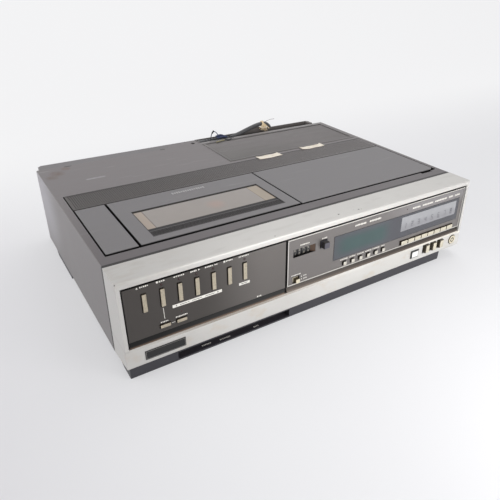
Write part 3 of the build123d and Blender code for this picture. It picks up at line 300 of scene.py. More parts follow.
def arrow(x, height, size, side):
    """Triangle that points to the right for 1 and to the left for -1."""
    return [(x - side * size, height - size), (x + side * size, height), (x - side * size, height + size)]


def frame_of(x0, x1, low, high, wide):
    """Four bars along the inside of a rectangle."""
    return [
        bar(x0, x1, low, low + wide),
        bar(x0, x1, high - wide, high),
        bar(x0, x0 + wide, low + wide, high - wide),
        bar(x1 - wide, x1, low + wide, high - wide),
    ]


# %% Plain numbers
STROKES = ["abcdef", "bc", "abged", "abgcd", "fgbc", "afgcd", "afgedc", "abc", "abcdefg", "abcdfg"]


def number(value, x, height, wide, tall, stroke):
    """Plain number from 0 to 9 made of up to seven bars, centred at a place."""
    left, right = x - wide / 2, x + wide / 2
    foot, top = height - tall / 2, height + tall / 2
    bars = {
        "a": dash(left, right, top, stroke),
        "b": bar(right - stroke, right, height, top),
        "c": bar(right - stroke, right, foot, height),
        "d": dash(left, right, foot, stroke),
        "e": bar(left, left + stroke, foot, height),
        "f": bar(left, left + stroke, height, top),
        "g": dash(left, right, height, stroke),
    }
    return [bars[letter] for letter in STROKES[value]]


# %% One mesh from many outlines
def flat_marks(name, outlines, proud=PANEL, ruler=on_face, body="chassis", thick=0.05):
    """One mesh from many flat outlines, raised from a surface by its ruler."""
    corners, faces = [], []
    for outline in outlines:
        start, count = len(corners), len(outline)
        corners += [ruler(a, b, proud) for a, b in outline]
        corners += [ruler(a, b, proud + thick) for a, b in outline]
        faces.append([start + i for i in range(count)])
        faces.append([start + count + i for i in range(count)])
        for i in range(count):
            j = (i + 1) % count
            faces.append([start + i, start + j, start + count + j, start + count + i])
    return new_piece(name, corners, faces, body)


# %% Marks on the dark panel
MARK_LINE = 97.6
BAR_LINE = 66.2
left_ink = [
    [(-221.4, 97.2), (-219.6, 97.2), (-220.5, 98.4)],
    dash(-221.4, -219.6, 96.7, 0.45),
    disc(-201.1, MARK_LINE, 1.1),
    arrow(-184.4, MARK_LINE, 0.9, -1),
    arrow(-182.4, MARK_LINE, 0.9, -1),
    arrow(-158.4, MARK_LINE, 1, 1),
    arrow(-140.9, MARK_LINE, 0.9, 1),
    arrow(-138.9, MARK_LINE, 0.9, 1),
    bar(-131.9, -130, 96.6, 98.6),
    bar(-114.5, -113.8, 96.6, 98.6),
    bar(-113.1, -112.4, 96.6, 98.6),
    bar(-188.5, -135, 64.6, 67.9),
    bar(-115, -102.2, 64.7, 67.6),
    [(-197.7, 56.1), (-197.2, 56.1), (-197.6, 68.5), (-198.1, 68.5)],
    dash(-190.6, -187.2, 48.9, 0.6),
]
KEY_WORDS = [(-218, -209.3), (-199.2, -193.3), (-180.6, -173.6), (-167.6, -160.6)]
KEY_WORDS += [(-152.1, -143), (-129.2, -121.2), (-111.2, -102.5)]
LOW_WORDS = [(-201.8, -193.8, 53.2), (-186.3, -173.5, 53.4), (-93.3, -87.5, 43.9)]
for x0, x1, height in [(x0, x1, MARK_LINE) for x0, x1 in KEY_WORDS] + LOW_WORDS:
    left_ink += words(x0, x1, height)
left_marks = flat_marks("left_panel_ink", left_ink)
bar_ink = [
    arrow(-184.8, BAR_LINE, 0.8, -1),
    dash(-181, -171, BAR_LINE, 0.5),
    dash(-168, -157, BAR_LINE, 0.5),
    dash(-154, -143.5, BAR_LINE, 0.5),
    arrow(-139.4, BAR_LINE, 0.8, 1),
    dash(-112.6, -105, BAR_LINE, 0.6),
]
bar_marks = flat_marks("bar_ink", bar_ink, PANEL + 0.05, thick=0.03)

# %% Marks on the paler panel
# Each line of words: its height, how tall its blocks are, and where each word starts and ends.
RIGHT_WORDS = [
    (89.3, 1.5, [(-37.7, -24.9)]),
    (89, 1.5, [(-7.7, -0.3)]),
    (54.2, 1.3, [(-48.5, -35.4)]),
    (50.1, 1.2, [(-31.8, -27.4)]),
    (46.5, 1.2, [(-31.8, -26.8)]),
    (92.1, 2.3, [(40.8, 58), (63.4, 82)]),
    (91.4, 2.3, [(136, 150), (154, 173.4), (177.2, 199.6), (204, 212), (215.6, 225.6)]),
    (53.1, 1.4, [(21.9, 33.3), (36, 45.6), (48.6, 59.1), (61.1, 71.4), (73, 84.8), (87.9, 93.7)]),
]
right_ink = [disc(-34.6, 50, 0.6), disc(-34.4, 46.6, 0.6)]
for height, tall, spans in RIGHT_WORDS:
    for x0, x1 in spans:
        right_ink += words(x0, x1, height, tall)
right_marks = flat_marks("right_panel_ink", right_ink)

# %% Marks in the pocket of the foot
POCKET_FLOOR = 2.6


def on_pocket(x, depth, proud):
    """Point on the floor of the pocket in the foot rail."""
    return Vector((x, FRONT + depth, POCKET_FLOOR + proud)) * MM


foot_ink = []
for x0, x1, depth in [(-158.5, -147.6, 0.6), (-137.8, -124.6, -0.6), (-95.7, -88.6, -1)]:
    foot_ink += words(x0, x1, depth, 1.8)
foot_marks = flat_marks("foot_ink", foot_ink, 0, on_pocket)

# %% Numbers on the channel lens
CHANNEL_FIRST, CHANNEL_STEP, CHANNELS, CHANNEL_LINE = 126.4, 12.3, 8, 70.4
lens_ink = []
for i in range(CHANNELS):
    lens_ink += number(i + 1, CHANNEL_FIRST + CHANNEL_STEP * i, CHANNEL_LINE, 3.6, 6.4, 1)
lens_marks = flat_marks("lens_ink", lens_ink, PANEL + 0.1, thick=0.04)

# %% Numbers round the wheels of the counter
WHEEL_RADIUS, WHEEL_FIRST, WHEEL_STEP, WHEELS = 7.6, -43.7, 6, 4
counter_axis = on_face(0, 81, -10)


def on_wheel(x, arc, proud):
    """Point round the counter's wheels: along, round from the front, and out of the rim."""
    angle = arc / WHEEL_RADIUS - LEAN
    reach = (WHEEL_RADIUS + proud) * MM
    return counter_axis + Vector((x * MM, -math.cos(angle) * reach, math.sin(angle) * reach))


wheel_ink = []
for i in range(WHEELS):
    for value in range(10):
        arc = -1 + 2 * math.pi * WHEEL_RADIUS * value / 10
        wheel_ink += number((value + i + 1) % 10, WHEEL_FIRST + WHEEL_STEP * i, arc, 1.6, 2.2, 0.45)
wheel_marks = flat_marks("counter_ink", wheel_ink, 0, on_wheel, "counter", 0.04)

# %% [markdown]
# ## Plates and lamps
# Two bare metal plates sit on the rail: a long black one with a bright rim, and a small one with a
# white field. The round power key has the plain sign of a ring and a bar. Over five of the tall
# keys, and over the small ones below them, a dark red lamp shows: a dome pushed into its hole from
# behind. A row of small blocks is raised on the lid.

# %% Bare plates on the rail
LONG_PLATE = (-221.2, -178.8, 18, 28)
SMALL_PLATE = (143.6, 158, 18.9, 29.8)
PLATE_THICK = 0.6
plate_shapes = [bar(*LONG_PLATE), bar(*SMALL_PLATE)]
plates = flat_marks("bare_plates", plate_shapes, 0, thick=PLATE_THICK)
x0, x1, low, high = LONG_PLATE
rims = frame_of(x0 + 0.7, x1 - 0.7, low + 0.7, high - 0.7, 0.35)
plate_rims = flat_marks("plate_rims", rims, PLATE_THICK, thick=0.1)
x0, x1, low, high = SMALL_PLATE
field = [bar(x0 + 2.8, x1 - 0.6, low + 0.8, high - 2.4)]
plate_field = flat_marks("plate_field", field, PLATE_THICK, thick=0.1)

# %% Sign on the power key
POWER_X, POWER_HEIGHT = 225, 25.3
RING_INNER, RING_OUTER, RING_START, RING_TURN, RING_PARTS = 2.2, 3.4, 125, 290, 14
key_ink = [bar(POWER_X - 0.6, POWER_X + 0.6, POWER_HEIGHT + 0.4, POWER_HEIGHT + 4)]
for part in range(RING_PARTS):
    a, b = [math.radians(RING_START + RING_TURN * (part + i) / RING_PARTS) for i in (0, 1)]
    ring = [(RING_INNER, a), (RING_OUTER, a), (RING_OUTER, b), (RING_INNER, b)]
    key_ink.append([(POWER_X + r * math.cos(t), POWER_HEIGHT + r * math.sin(t)) for r, t in ring])
power_ink = flat_marks("power_key_ink", key_ink, 1, body="power", thick=0.04)

# %% Blocks on the lid, slots in the rear seam and a red dot
blocks = words(-117, -73, 152.5, 4.6, 2.9)
lid_blocks = flat_marks("lid_blocks", blocks, 0, on_top, "lid", 0.25)
SEAM_SLOTS = [(-205, -195.6, 303.2, 305.2), (-66, -58.6, 305.4, 307.4)]
slots = [bar(*slot) for slot in SEAM_SLOTS]
seam_slots = flat_marks("seam_slots", slots, 0, on_top)
red_dot = flat_marks("red_dot", [disc(126, 92.6, 0.9)])


# %% Domes for the lamps
def domes(name, places, radius, rise, proud):
    """Low round caps on the face, each a few rings of corners up to its crown."""
    rings, sides = 4, 12
    turns = [2 * math.pi * side / sides for side in range(sides)]
    corners, faces = [], []
    for x, height in places:
        start = len(corners)
        for ring in range(rings):
            slope = 0.5 * math.pi * ring / rings
            reach, up = radius * math.cos(slope), proud + rise * math.sin(slope)
            corners += [on_face(x + reach * math.cos(t), height + reach * math.sin(t), up) for t in turns]
        corners.append(on_face(x, height, proud + rise))
        for ring in range(rings - 1):
            for side in range(sides):
                a, b = start + ring * sides + side, start + ring * sides + (side + 1) % sides
                faces.append((a, b, b + sides, a + sides))
        last = start + (rings - 1) * sides
        faces += [(last + side, last + (side + 1) % sides, last + sides) for side in range(sides)]
        faces.append([start + side for side in range(sides)])
    return new_piece(name, corners, faces, smooth=True)


KEY_FIRST, KEY_STEP, LAMP_LINE = -215.2, 17.87, 94
lamp_places = [(KEY_FIRST + KEY_STEP * i, LAMP_LINE) for i in (1, 2, 3, 4, 6)] + [(-179.6, 58.1)]
key_lamps = domes("key_lamps", lamp_places, 1.15, 0.8, -1.6)

# %% [markdown]
# ## Old tape, string and loose wires
# The grille's front edge was taped in two places, and the tape has yellowed and torn. A twist of
# string is knotted round the lead where it comes over the rear wall. Each follows what it lies on:
# the tape is a thin rippled sheet over the gap, and the string is wound round the lead's own line.

# %% Two torn pieces of tape
def torn_tape(name, x0, x1, near, far, seed):
    """Thin yellowed tape across the ribbed strip's edge, its ends torn."""
    chance = random.Random(seed)
    columns, rows = 14, 6
    corners = []
    for row in range(rows + 1):
        depth = near + (far - near) * row / rows
        tear = (chance.uniform(-1.2, 1.2), chance.uniform(-1.2, 1.2))
        for column in range(columns + 1):
            share = column / columns
            x = x0 + tear[0] + (x1 - x0 + tear[1] - tear[0]) * share
            curl = 0.9 * (2 * share - 1) ** 6
            ripple = 0.16 * math.sin(5.1 * share * math.pi + seed) * math.cos(2.2 * row + seed)
            edge = 0.5 * math.sin(3.7 * share * math.pi + 2 * seed) * (2 * row / rows - 1)
            corners.append(on_top(x, depth + edge, 0.35 + curl + ripple))
    wide = columns + 1
    starts = [row * wide + column for row in range(rows) for column in range(columns)]
    faces = [(start, start + 1, start + wide + 1, start + wide) for start in starts]
    tape = new_piece(name, corners, faces, smooth=True)
    sheet = tape.modifiers.new("thickness", "SOLIDIFY")
    sheet.thickness = 0.25 * MM
    sheet.offset = -1
    return tape


tapes = [
    torn_tape("tape_middle", 40, 78.5, 199.5, 211, 1),
    torn_tape("tape_right", 120, 161, 203.5, 215, 2),
]

# %% String round the lead
def strand(name, corners, diameter):
    """Short thin strand through a few corners."""
    piece = make_cord(name, corners, diameter)
    piece.data.resolution_u = 6
    piece.data.bevel_resolution = 3
    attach(piece, "chassis")
    return piece


STRING_X, STRING_REACH, STRING_WIDE, STRING_TURNS = 122.5, 4.1, 3.4, 3
high_points = [point / MM for point in lead_line if point.z > 0.1]
knot_place = min(high_points, key=lambda point: abs(point.x - STRING_X))
turn_steps = 12 * STRING_TURNS
string_turns = []
for step in range(turn_steps + 1):
    turn = 2 * math.pi * step / 12
    along = STRING_WIDE * (step / turn_steps - 0.5)
    around = Vector((along, -STRING_REACH * math.cos(turn), STRING_REACH * math.sin(turn)))
    string_turns.append(knot_place + around)
tie_pieces = [strand("string_turns", string_turns, 1.5)]
STRING_ENDS = [(-8.6, -5.4), (-5.6, -8.4), (-1.6, -9.4), (2.6, -11.4), (6.6, -10.8), (10.2, -7.6)]
for i, (across, fall) in enumerate(STRING_ENDS):
    knot, belly = (0, -4, 1.6), (0.5 * across, -6.4, 0.35 * fall)
    steps = (knot, belly, (across, -5.4 - 0.5 * (i % 2), fall))
    tie_pieces.append(strand(f"string_end_{i + 1}", [knot_place + Vector(step) for step in steps], 1.7))
WHISKER = [(0, -4, 3), (4, -4, 4.2), (9, -3.8, 5.6), (15, -3.6, 6.2), (22, -3.4, 6)]
whisker = [knot_place + Vector(step) for step in WHISKER]
whisker_piece = strand("string_whisker", whisker, 0.6)
print("string at", [round(v, 1) for v in knot_place], "in", len(tie_pieces), "strands")

# %% [markdown]
# A wound lead springs open unless something holds it, so two strands of the same string go round
# one side of the coil. Their place is measured on the lead's line where it lies on the floor: how
# far in, how far out and how high the turns reach there.

# %% A tie round the coil
TIE_BEARING = math.radians(215)
outwards = Vector((math.cos(TIE_BEARING), math.sin(TIE_BEARING), 0))
sideways = Vector((-outwards.y, outwards.x, 0))
coil_spots = [point / MM - COIL_CENTRE for point in lead_line if point.z < 0.0145]
here = [spot for spot in coil_spots if abs(spot.dot(sideways)) < 4 and spot.dot(outwards) > 0]
coil_inner = min(spot.dot(outwards) for spot in here) - LEAD_DIAMETER / 2
coil_outer = max(spot.dot(outwards) for spot in here) + LEAD_DIAMETER / 2
coil_top = max(spot.z for spot in here) + LEAD_DIAMETER / 2


def round_coil(reach, height, along=0):
    """Point of the tie: this far out from the coil's centre, up, and to the side."""
    return COIL_CENTRE + outwards * reach + sideways * along + Vector((0, 0, height))


coil_middle = (coil_inner + coil_outer) / 2
TIE_LOOP = [
    (coil_inner - 0.8, coil_top / 2),
    (coil_inner - 0.2, 1),
    (coil_middle, 0.9),
    (coil_outer + 0.2, 1),
    (coil_outer + 0.9, coil_top / 2),
    (coil_outer + 0.2, coil_top + 0.2),
    (coil_middle, coil_top + 0.8),
    (coil_inner - 0.2, coil_top + 0.2),
    (coil_inner - 0.8, coil_top / 2),
]
for i, along in enumerate((-0.9, 0.9)):
    loop = [round_coil(reach, height, along) for reach, height in TIE_LOOP]
    tie_pieces.append(strand(f"coil_tie_{i + 1}", loop, 1.6))
    start = round_coil(coil_outer - 1, coil_top + 0.6, along)
    middle = round_coil(coil_outer + 3, coil_top + 1.4, 2.4 * along)
    end = round_coil(coil_outer + 7, coil_top - 3, 5 * along)
    tie_pieces.append(strand(f"coil_tie_end_{i + 1}", [start, middle, end], 1.4))
print("coil", round(coil_inner, 1), "to", round(coil_outer, 1), "top", round(coil_top, 1))

# %% [markdown]
# Beside the lead a bundle of thin wires lies on the rear ledge: two fat blue ends, dark loops, a
# pale end, and a short sleeve on the blue wire's arch. Each is a strand through three to six
# corners, which is all that such a short bend needs.

# %% Loose ends of the wires
BLUE_BUNDLE_1 = [(29, 153, 112.4), (34.5, 152, 114.6), (40, 152.6, 113.4), (45.5, 153, 110.4)]
BLUE_BUNDLE_2 = [(30, 150.6, 110.6), (36, 149.8, 112), (42, 150.4, 111.4), (48, 151.4, 109.8)]
DARK_WIRE = [(17, 150.6, 109.6), (25, 150, 110.6), (34, 149.4, 109.8), (45, 150, 109)]
LOOP_START = [(43, 153, 110.4), (49.5, 156.5, 110.8), (54.5, 151.5, 109.8)]
LOOP_END = [(51, 142, 109), (43.5, 138, 108.8), (40.5, 145, 109)]
PALE_WIRE = [(22, 138, 109.2), (30, 139.4, 109.8), (38, 141, 109.2)]
SHORT_LOOP = [(44, 153.4, 111.6), (50, 153, 111.2), (56, 151, 110), (58, 147, 109)]
LOOSE_WIRES = [
    ("blue_bundle_1", 3, "blue_rubber", BLUE_BUNDLE_1),
    ("blue_bundle_2", 2.8, "blue_rubber", BLUE_BUNDLE_2),
    ("dark_wire_1", 1.6, "black_rubber", DARK_WIRE),
    ("dark_wire_2", 1.7, "black_rubber", LOOP_START + LOOP_END),
    ("dark_wire_3", 1.5, "black_rubber", SHORT_LOOP),
    ("pale_wire", 1.6, "ivory_key", PALE_WIRE),
]
wire_pieces = [strand(name, corners, wide) for name, wide, slot, corners in LOOSE_WIRES]
sleeve = [(22.3, 153, 118.2), (23.6, 153, 120.4), (25.6, 153, 122.4)]
wire_pieces.append(strand("wire_sleeve", sleeve, 2.4))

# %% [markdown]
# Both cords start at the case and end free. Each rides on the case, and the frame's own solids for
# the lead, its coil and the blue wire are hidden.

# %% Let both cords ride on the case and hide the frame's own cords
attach(mains_cord, "chassis")
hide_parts("mains_lead", "lead_coil")
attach(blue_cord, "chassis")
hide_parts("blue_wire")

# %% [markdown]
# ## Shader maths that reads as sums
# A finish is a colour, a gloss and a grain that change a little over the surface. In the node
# editor each plus or times is a box and two wires. Here a Field stands for one output socket, and
# its operators add those boxes, so `1 - mask` or `grain * 0.3 + 0.5` build the nodes themselves.

# %% Colours and fields
def tint(red, green, blue):
    """Colour as a painter reads it from a swatch, 0 to 255, turned into Blender's linear values."""
    shares = [value / 255 for value in (red, green, blue)]
    return (*[s / 12.92 if s <= 0.04045 else ((s + 0.055) / 1.055) ** 2.4 for s in shares], 1)


class Field:
    """What one output socket carries over a surface, with the usual operators."""

    def __init__(self, finish, socket):
        self.finish = finish
        self.socket = socket

    def combine(self, operation, *pair):
        """A Math node, or a Vector Math node where this field is a vector."""
        kind = "ShaderNodeMath"
        if self.socket.type == "VECTOR":
            kind = "ShaderNodeVectorMath"
            pair = [(v, v, v) if isinstance(v, (int, float)) else v for v in pair]
        return self.finish.node(kind, {"operation": operation}, dict(enumerate(pair)))

    def __add__(self, other):
        return self.combine("ADD", self, other)

    __radd__ = __add__

    def __sub__(self, other):
        return self.combine("SUBTRACT", self, other)

    def __rsub__(self, other):
        return self.combine("SUBTRACT", other, self)

    def __mul__(self, other):
        return self.combine("MULTIPLY", self, other)

    __rmul__ = __mul__

    def rise(self, low, high):
        """0 below low, 1 above high, and a soft step between them."""
        settings = {"interpolation_type": "SMOOTHSTEP"}
        return self.finish.node("ShaderNodeMapRange", settings, {0: self, 1: low, 2: high})

    def within(self, low, high, soft):
        """1 between low and high, with edges this soft."""
        return self.rise(low - soft, low) - self.rise(high, high + soft)


# %% A material and its nodes
class Shader:
    """A material in the making: its shader, its base colour so far, and any other node."""

    def __init__(self, name, colour, roughness, constants=None):
        self.material = bpy.data.materials.new(name)
        self.material.use_nodes = True
        self.tree = self.material.node_tree
        self.shader = self.tree.nodes["Principled BSDF"]
        self.base = tint(*colour)
        self.feed("Base Color", self.base)
        self.feed("Roughness", roughness)
        for socket, value in (constants or {}).items():
            self.feed(socket, value)

    def fill(self, target, value):
        """Link a field to an input socket, or set its value."""
        if isinstance(value, Field):
            self.tree.links.new(value.socket, target)
        else:
            target.default_value = value

    def feed(self, socket, value):
        """Give one socket of the shader a value or a field."""
        self.fill(self.shader.inputs[socket], value)

    def node(self, kind, settings=None, inputs=None, output=0):
        """Any node: its settings first, then the values or links of its sockets."""
        made = self.tree.nodes.new(kind)
        for setting, value in (settings or {}).items():
            if setting == "stops":
                while len(made.color_ramp.elements) < len(value):
                    made.color_ramp.elements.new(0.5)
                for element, (position, colour) in zip(made.color_ramp.elements, value):
                    element.position = position
                    element.color = colour
            else:
                setattr(made, setting, value)
        for socket, value in (inputs or {}).items():
            self.fill(made.inputs[socket], value)
        return Field(self, made.outputs[output])

    def mix(self, share, first, second, blend="MIX"):
        """Colour between two colours."""
        settings = {"data_type": "RGBA", "blend_type": blend}
        return self.node("ShaderNodeMix", settings, {0: share, 6: first, 7: second}, output=2)

    def shade(self, colour, field, depth):
        """The colour, lighter and darker by up to depth as a 0 to 1 field goes up and down."""
        level = (field - 0.5) * (2 * depth) + 1
        grey = self.node("ShaderNodeCombineXYZ", inputs={0: level, 1: level, 2: level})
        return self.mix(1, colour, grey, "MULTIPLY")


# %% [markdown]
# A real surface is painted, then rubbed, stained and chipped, one thing over another. So a finish
# starts with one base colour and lays others over it in turn: `over` takes a mask that says where
# and how strongly, and `mottle` makes what is there lighter and darker. Places are read from the
# frame's own axes in millimetres, so a stain stays where it is on the real case.

# %% A finish in layers
class Finish(Shader):
    """A material built in layers, with masks that say where each one lies."""

    def over(self, share, colour):
        """Lay a colour over the base colour, where and as strongly as share says."""
        self.base = self.mix(share, self.base, colour if isinstance(colour, Field) else tint(*colour))
        self.feed("Base Color", self.base)

    def mottle(self, field, depth):
        """Make the base colour lighter and darker with a field."""
        self.base = self.shade(self.base, field, depth)
        self.feed("Base Color", self.base)

    def place(self):
        """Where a point of the surface is, in the frame's own axes, in millimetres."""
        return self.node("ShaderNodeTexCoord", output="Object") * 1000

    def axes(self):
        """The three parts of place, as three fields."""
        parts = self.node("ShaderNodeSeparateXYZ", inputs={0: self.place()}).socket.node.outputs
        return [Field(self, part) for part in parts]

    def facing(self, axis, sign=1):
        """1 where the surface faces along one axis: 0 for X, 1 for Y, 2 for Z."""
        normal = self.node("ShaderNodeNewGeometry", output="Normal")
        part = self.node("ShaderNodeSeparateXYZ", inputs={0: normal}, output=axis)
        return (part * sign).rise(0.75, 0.95)

    def proud(self):
        """How far a point stands out of the leaning front face, in millimetres."""
        x, y, z = self.axes()
        return (FRONT - y) * math.cos(LEAN) + (z - TOP) * math.sin(LEAN)

    def measure(self, operation, *vectors):
        """Number that a Vector Math node finds from one or two vectors."""
        settings, inputs = {"operation": operation}, dict(enumerate(vectors))
        return self.node("ShaderNodeVectorMath", settings, inputs, output="Value")

    def near(self, place, radius, soft):
        """1 within this distance of a place in millimetres, with a soft rim round it."""
        return 1 - self.measure("DISTANCE", self.place(), tuple(place)).rise(radius, radius + soft)

    def rounded(self, radius):
        """The normal as if every edge had this radius in millimetres."""
        return self.node("ShaderNodeBevel", {"samples": 4}, {"Radius": radius * MM})

    def edges(self, radius):
        """1 along sharp edges, where a rounded normal turns away from the flat one."""
        flat = self.node("ShaderNodeNewGeometry", output="Normal")
        return 1 - self.measure("DOT_PRODUCT", self.rounded(radius), flat).rise(0.8, 0.99)

    def noise(self, size, stretch=(1, 1, 1), detail=3, roughness=0.55):
        """Soft random field with grains this many millimetres wide."""
        place = self.place() * tuple(s / size for s in stretch)
        inputs = {"Vector": place, "Scale": 1, "Detail": detail, "Roughness": roughness}
        return self.node("ShaderNodeTexNoise", inputs=inputs)

    def waves(self, field):
        """0 to 1 and back again as a field goes up."""
        return self.node("ShaderNodeMath", {"operation": "SINE"}, {0: field}) * 0.5 + 0.5

    def bump(self, height, depth, edge=0.35):
        """Relief this many millimetres deep, on edges rounded by that radius."""
        inputs = {"Height": height, "Distance": depth * MM, "Normal": self.rounded(edge)}
        self.feed("Normal", self.node("ShaderNodeBump", inputs=inputs))


made_finishes = {}


def dress(finish, *nodes):
    """Give a finish to nodes of the frame by name, or to new pieces."""
    for item in nodes:
        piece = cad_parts[item] if isinstance(item, str) else item
        if piece.material_slots:
            piece.material_slots[0].material = finish.material
        else:
            piece.data.materials.append(finish.material)
        made_finishes.setdefault(finish.material.name, []).append(piece.name)
    print(finish.material.name, "on", len(nodes), "pieces")


# %% [markdown]
# ## The stage and the light
# A pale sheet runs along the floor and curves up behind the case, so there is no corner to see.
# The lens sees it near white, because half of what it sends to the camera and to reflections, and
# nearly all of it far behind the case, is a plain pale glow. The rest is ordinary matt sheet, which
# keeps the case's soft shadow. At the front left a painted shadow makes the sheet and its glow greyer.

# %% A swept sheet of backdrop
STAGE_HALF, DROP = 4, 0.0002
STAGE_FRONT, STAGE_REAR, STAGE_BEND, STAGE_TALL = -4, 1.6, 0.7, 4
profile = [(STAGE_FRONT, 0), (STAGE_REAR - STAGE_BEND, 0)]
for step in range(1, 13):
    turn = math.radians(90 * step / 12)
    profile.append((STAGE_REAR - STAGE_BEND * (1 - math.sin(turn)), STAGE_BEND * (1 - math.cos(turn))))
profile.append((STAGE_REAR, STAGE_TALL))
sheet = bpy.data.meshes.new("backdrop")
corners = [(x, y, z - DROP) for y, z in profile for x in (-STAGE_HALF, STAGE_HALF)]
strips = [(2 * i, 2 * i + 1, 2 * i + 3, 2 * i + 2) for i in range(len(profile) - 1)]
sheet.from_pydata(corners, [], strips)
sheet.polygons.foreach_set("use_smooth", [True] * len(strips))
backdrop = bpy.data.objects.new("backdrop", sheet)
bpy.context.collection.objects.link(backdrop)
backdrop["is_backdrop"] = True
print("sheet", len(strips), "strips, rear at", STAGE_REAR, "m")

# %% The sheet's finish
pale = Finish("pale_sheet", (224, 224, 227), 0.95, {"Specular IOR Level": 0.1})
path = pale.node("ShaderNodeLightPath").socket.node.outputs
rays = Field(pale, path["Is Camera Ray"]) + Field(pale, path["Is Glossy Ray"])
rays = rays + Field(pale, path["Is Transmission Ray"])
x, y, z = pale.axes()
# painted shadow: the sheet and its glow are greyer at the front left, beside the case
painted_floor_shadow = (1 - x.rise(-650, -150)) * (1 - y.rise(0, 500))
pale.over(painted_floor_shadow, (188, 187, 191))
glow_colour = pale.mix(painted_floor_shadow, tint(246, 246, 247), tint(218, 216, 220))
glow = pale.node("ShaderNodeEmission", inputs={"Color": glow_colour, "Strength": 1})
lit = Field(pale, pale.shader.outputs[0])
glow_share = rays.rise(0, 1) * (y.rise(50, 600) * 0.42 + 0.5)
both = pale.node("ShaderNodeMixShader", inputs={0: glow_share, 1: lit, 2: glow})
pale.fill(pale.tree.nodes["Material Output"].inputs["Surface"], both)
dress(pale, backdrop)

# %% [markdown]
# Four square soft lights do what the windows and lamps of a studio do: a broad one overhead, one
# low at the left rear, a small one close to the right panel, and a weak one near the lens. The air
# of the world fills the rest, so that no side is black.

# %% Soft studio light
def softbox(name, aim, azimuth, elevation, distance, width, watts):
    """Square soft light that looks at a place from this bearing and distance."""
    data = bpy.data.lights.new(name, "AREA")
    data.size = width
    data.energy = watts
    data.color = (1, 0.99, 0.97)
    lamp = bpy.data.objects.new(name, data)
    lamp.rotation_mode = "QUATERNION"
    lamp.rotation_quaternion = looking_back(azimuth, elevation)
    back = lamp.rotation_quaternion @ Vector((0, 0, 1))
    lamp.location = Vector(aim) * MM + back * distance
    bpy.context.collection.objects.link(lamp)


MIDDLE = (0, 0, 50)
softbox("overhead_softbox", MIDDLE, 120, 62, 2.2, 1.6, 15)
softbox("left_softbox", (-60, 150, 60), -100, 22, 1.3, 0.9, 7.2)
softbox("near_softbox", (120, -156, 60), 6, 15, 0.45, 0.34, 1.9)
softbox("front_softbox", MIDDLE, -10, 25, 2.4, 1.5, 3)
world = bpy.data.worlds.new("studio_air")
world.use_nodes = True
world.node_tree.nodes["Background"].inputs["Color"].default_value = tint(240, 241, 245)
world.node_tree.nodes["Background"].inputs["Strength"].default_value = 0.55
bpy.context.scene.world = world
bpy.context.scene.view_settings.view_transform = "Standard"

# %% [markdown]
# ## Painted and moulded housings
# The front frame is moulded plastic with a satin silver paint: a fine metal flake under a thin
# coat. Years of handling leave grey rubbing along its top, a warm stain on the rail, and a few
# chips at the front edge that show the dark plastic. Light and shade are painted in as well: edges
# are a little brighter than the flats as a painted highlight, the right of the rail's lip has a
# painted highlight, and the left of the lip, the far left, the tops and the faces behind the face
# have painted shade.

# %% Satin silver of the front frame
silver = Finish("satin_silver", (210, 208, 204), 0.4, {"Metallic": 0.4})
x, y, z = silver.axes()
flake = silver.noise(0.5, detail=1)
cloud = silver.noise(46, detail=4)
rub = silver.noise(9, (0.25, 1, 1), 5).rise(0.52, 0.74)
stain = silver.noise(14, (0.6, 1, 1), 3).rise(0.54, 0.72) * (1 - z.rise(30, 36))
handled = silver.noise(5, (0.3, 1, 1), 4).rise(0.4, 0.7) * (1 - x.rise(-225, -120)) * z.rise(96, 102)
lip = z.within(32.9, 34.8, 0.3)
lip_shade_span = x.rise(-270, -130) * (1 - x.rise(-90, 70))
silver.mottle(flake, 0.05)
silver.mottle(cloud, 0.06)
silver.over(rub * silver.facing(2) * 0.15, (158, 154, 146))
silver.over(handled * 0.2, (176, 158, 140))
silver.over(stain * 0.2, (196, 168, 128))
# painted shade on the left part of the rail's lip
silver.over(lip * lip_shade_span * 0.95, (118, 110, 102))
# painted shade: the frame is darker towards the far left
silver.over((1 - x.rise(-240, -100)) * 0.14, (150, 148, 145))
# painted highlight on the right part of the rail's lip
silver.over(lip * x.rise(90, 180) * 0.8, (250, 244, 232))
# painted shade: the faces that look up are a little darker at the top
silver.over(silver.facing(2) * z.rise(100, 104) * 0.14, (120, 118, 116))
# painted highlight: edges a little brighter than the flats
silver.over(silver.edges(0.8) * 0.35, (240, 238, 232))

# %% Chips, and painted shade on the back of the front frame
CHIPS = [(21.4, 9.6, 1.3), (50.1, 8, 1.2), (53.5, 7, 0.8), (44, 10, 0.5)]
CHIPS += [(-69.3, 3.9, 0.8), (-239.6, 0.6, 1)]
rough_edge = silver.noise(1.2, detail=3) * 1.6
for chip_x, depth, size in CHIPS:
    chip = silver.near(on_top(chip_x, depth, 0) / MM, size - 0.5, 1) * rough_edge
    silver.over(chip.rise(0.3, 0.8) * 0.8, (72, 70, 68))
# painted shade: faces behind the front face, inside the opening, are near black
behind = 1 - silver.proud().rise(-6, -3)
silver.over(behind * silver.facing(1, -1) * z.within(35, 101, 0.5), (26, 25, 25))
silver.feed("Roughness", cloud * 0.16 + 0.32)
silver.bump(flake, 0.015, 0.6)
dress(silver, "front_bezel")

# %% [markdown]
# The cabinet is folded steel with a grained grey paint, and the covers in its top are moulded in
# a grey that almost matches. All get a fine grain in the bump, slow clouds in the colour, and long
# streaks of wear on the faces that look up. Down in the gaps between the covers no light gets in,
# so everything below the skin there is painted nearly black: painted shade, with the dirt that
# collects there.

# %% Grained grey paint and grey plastic
WELL_X, WELL_Y = (-231.6, 234.1), (FRONT + 50.3, FRONT + 207)


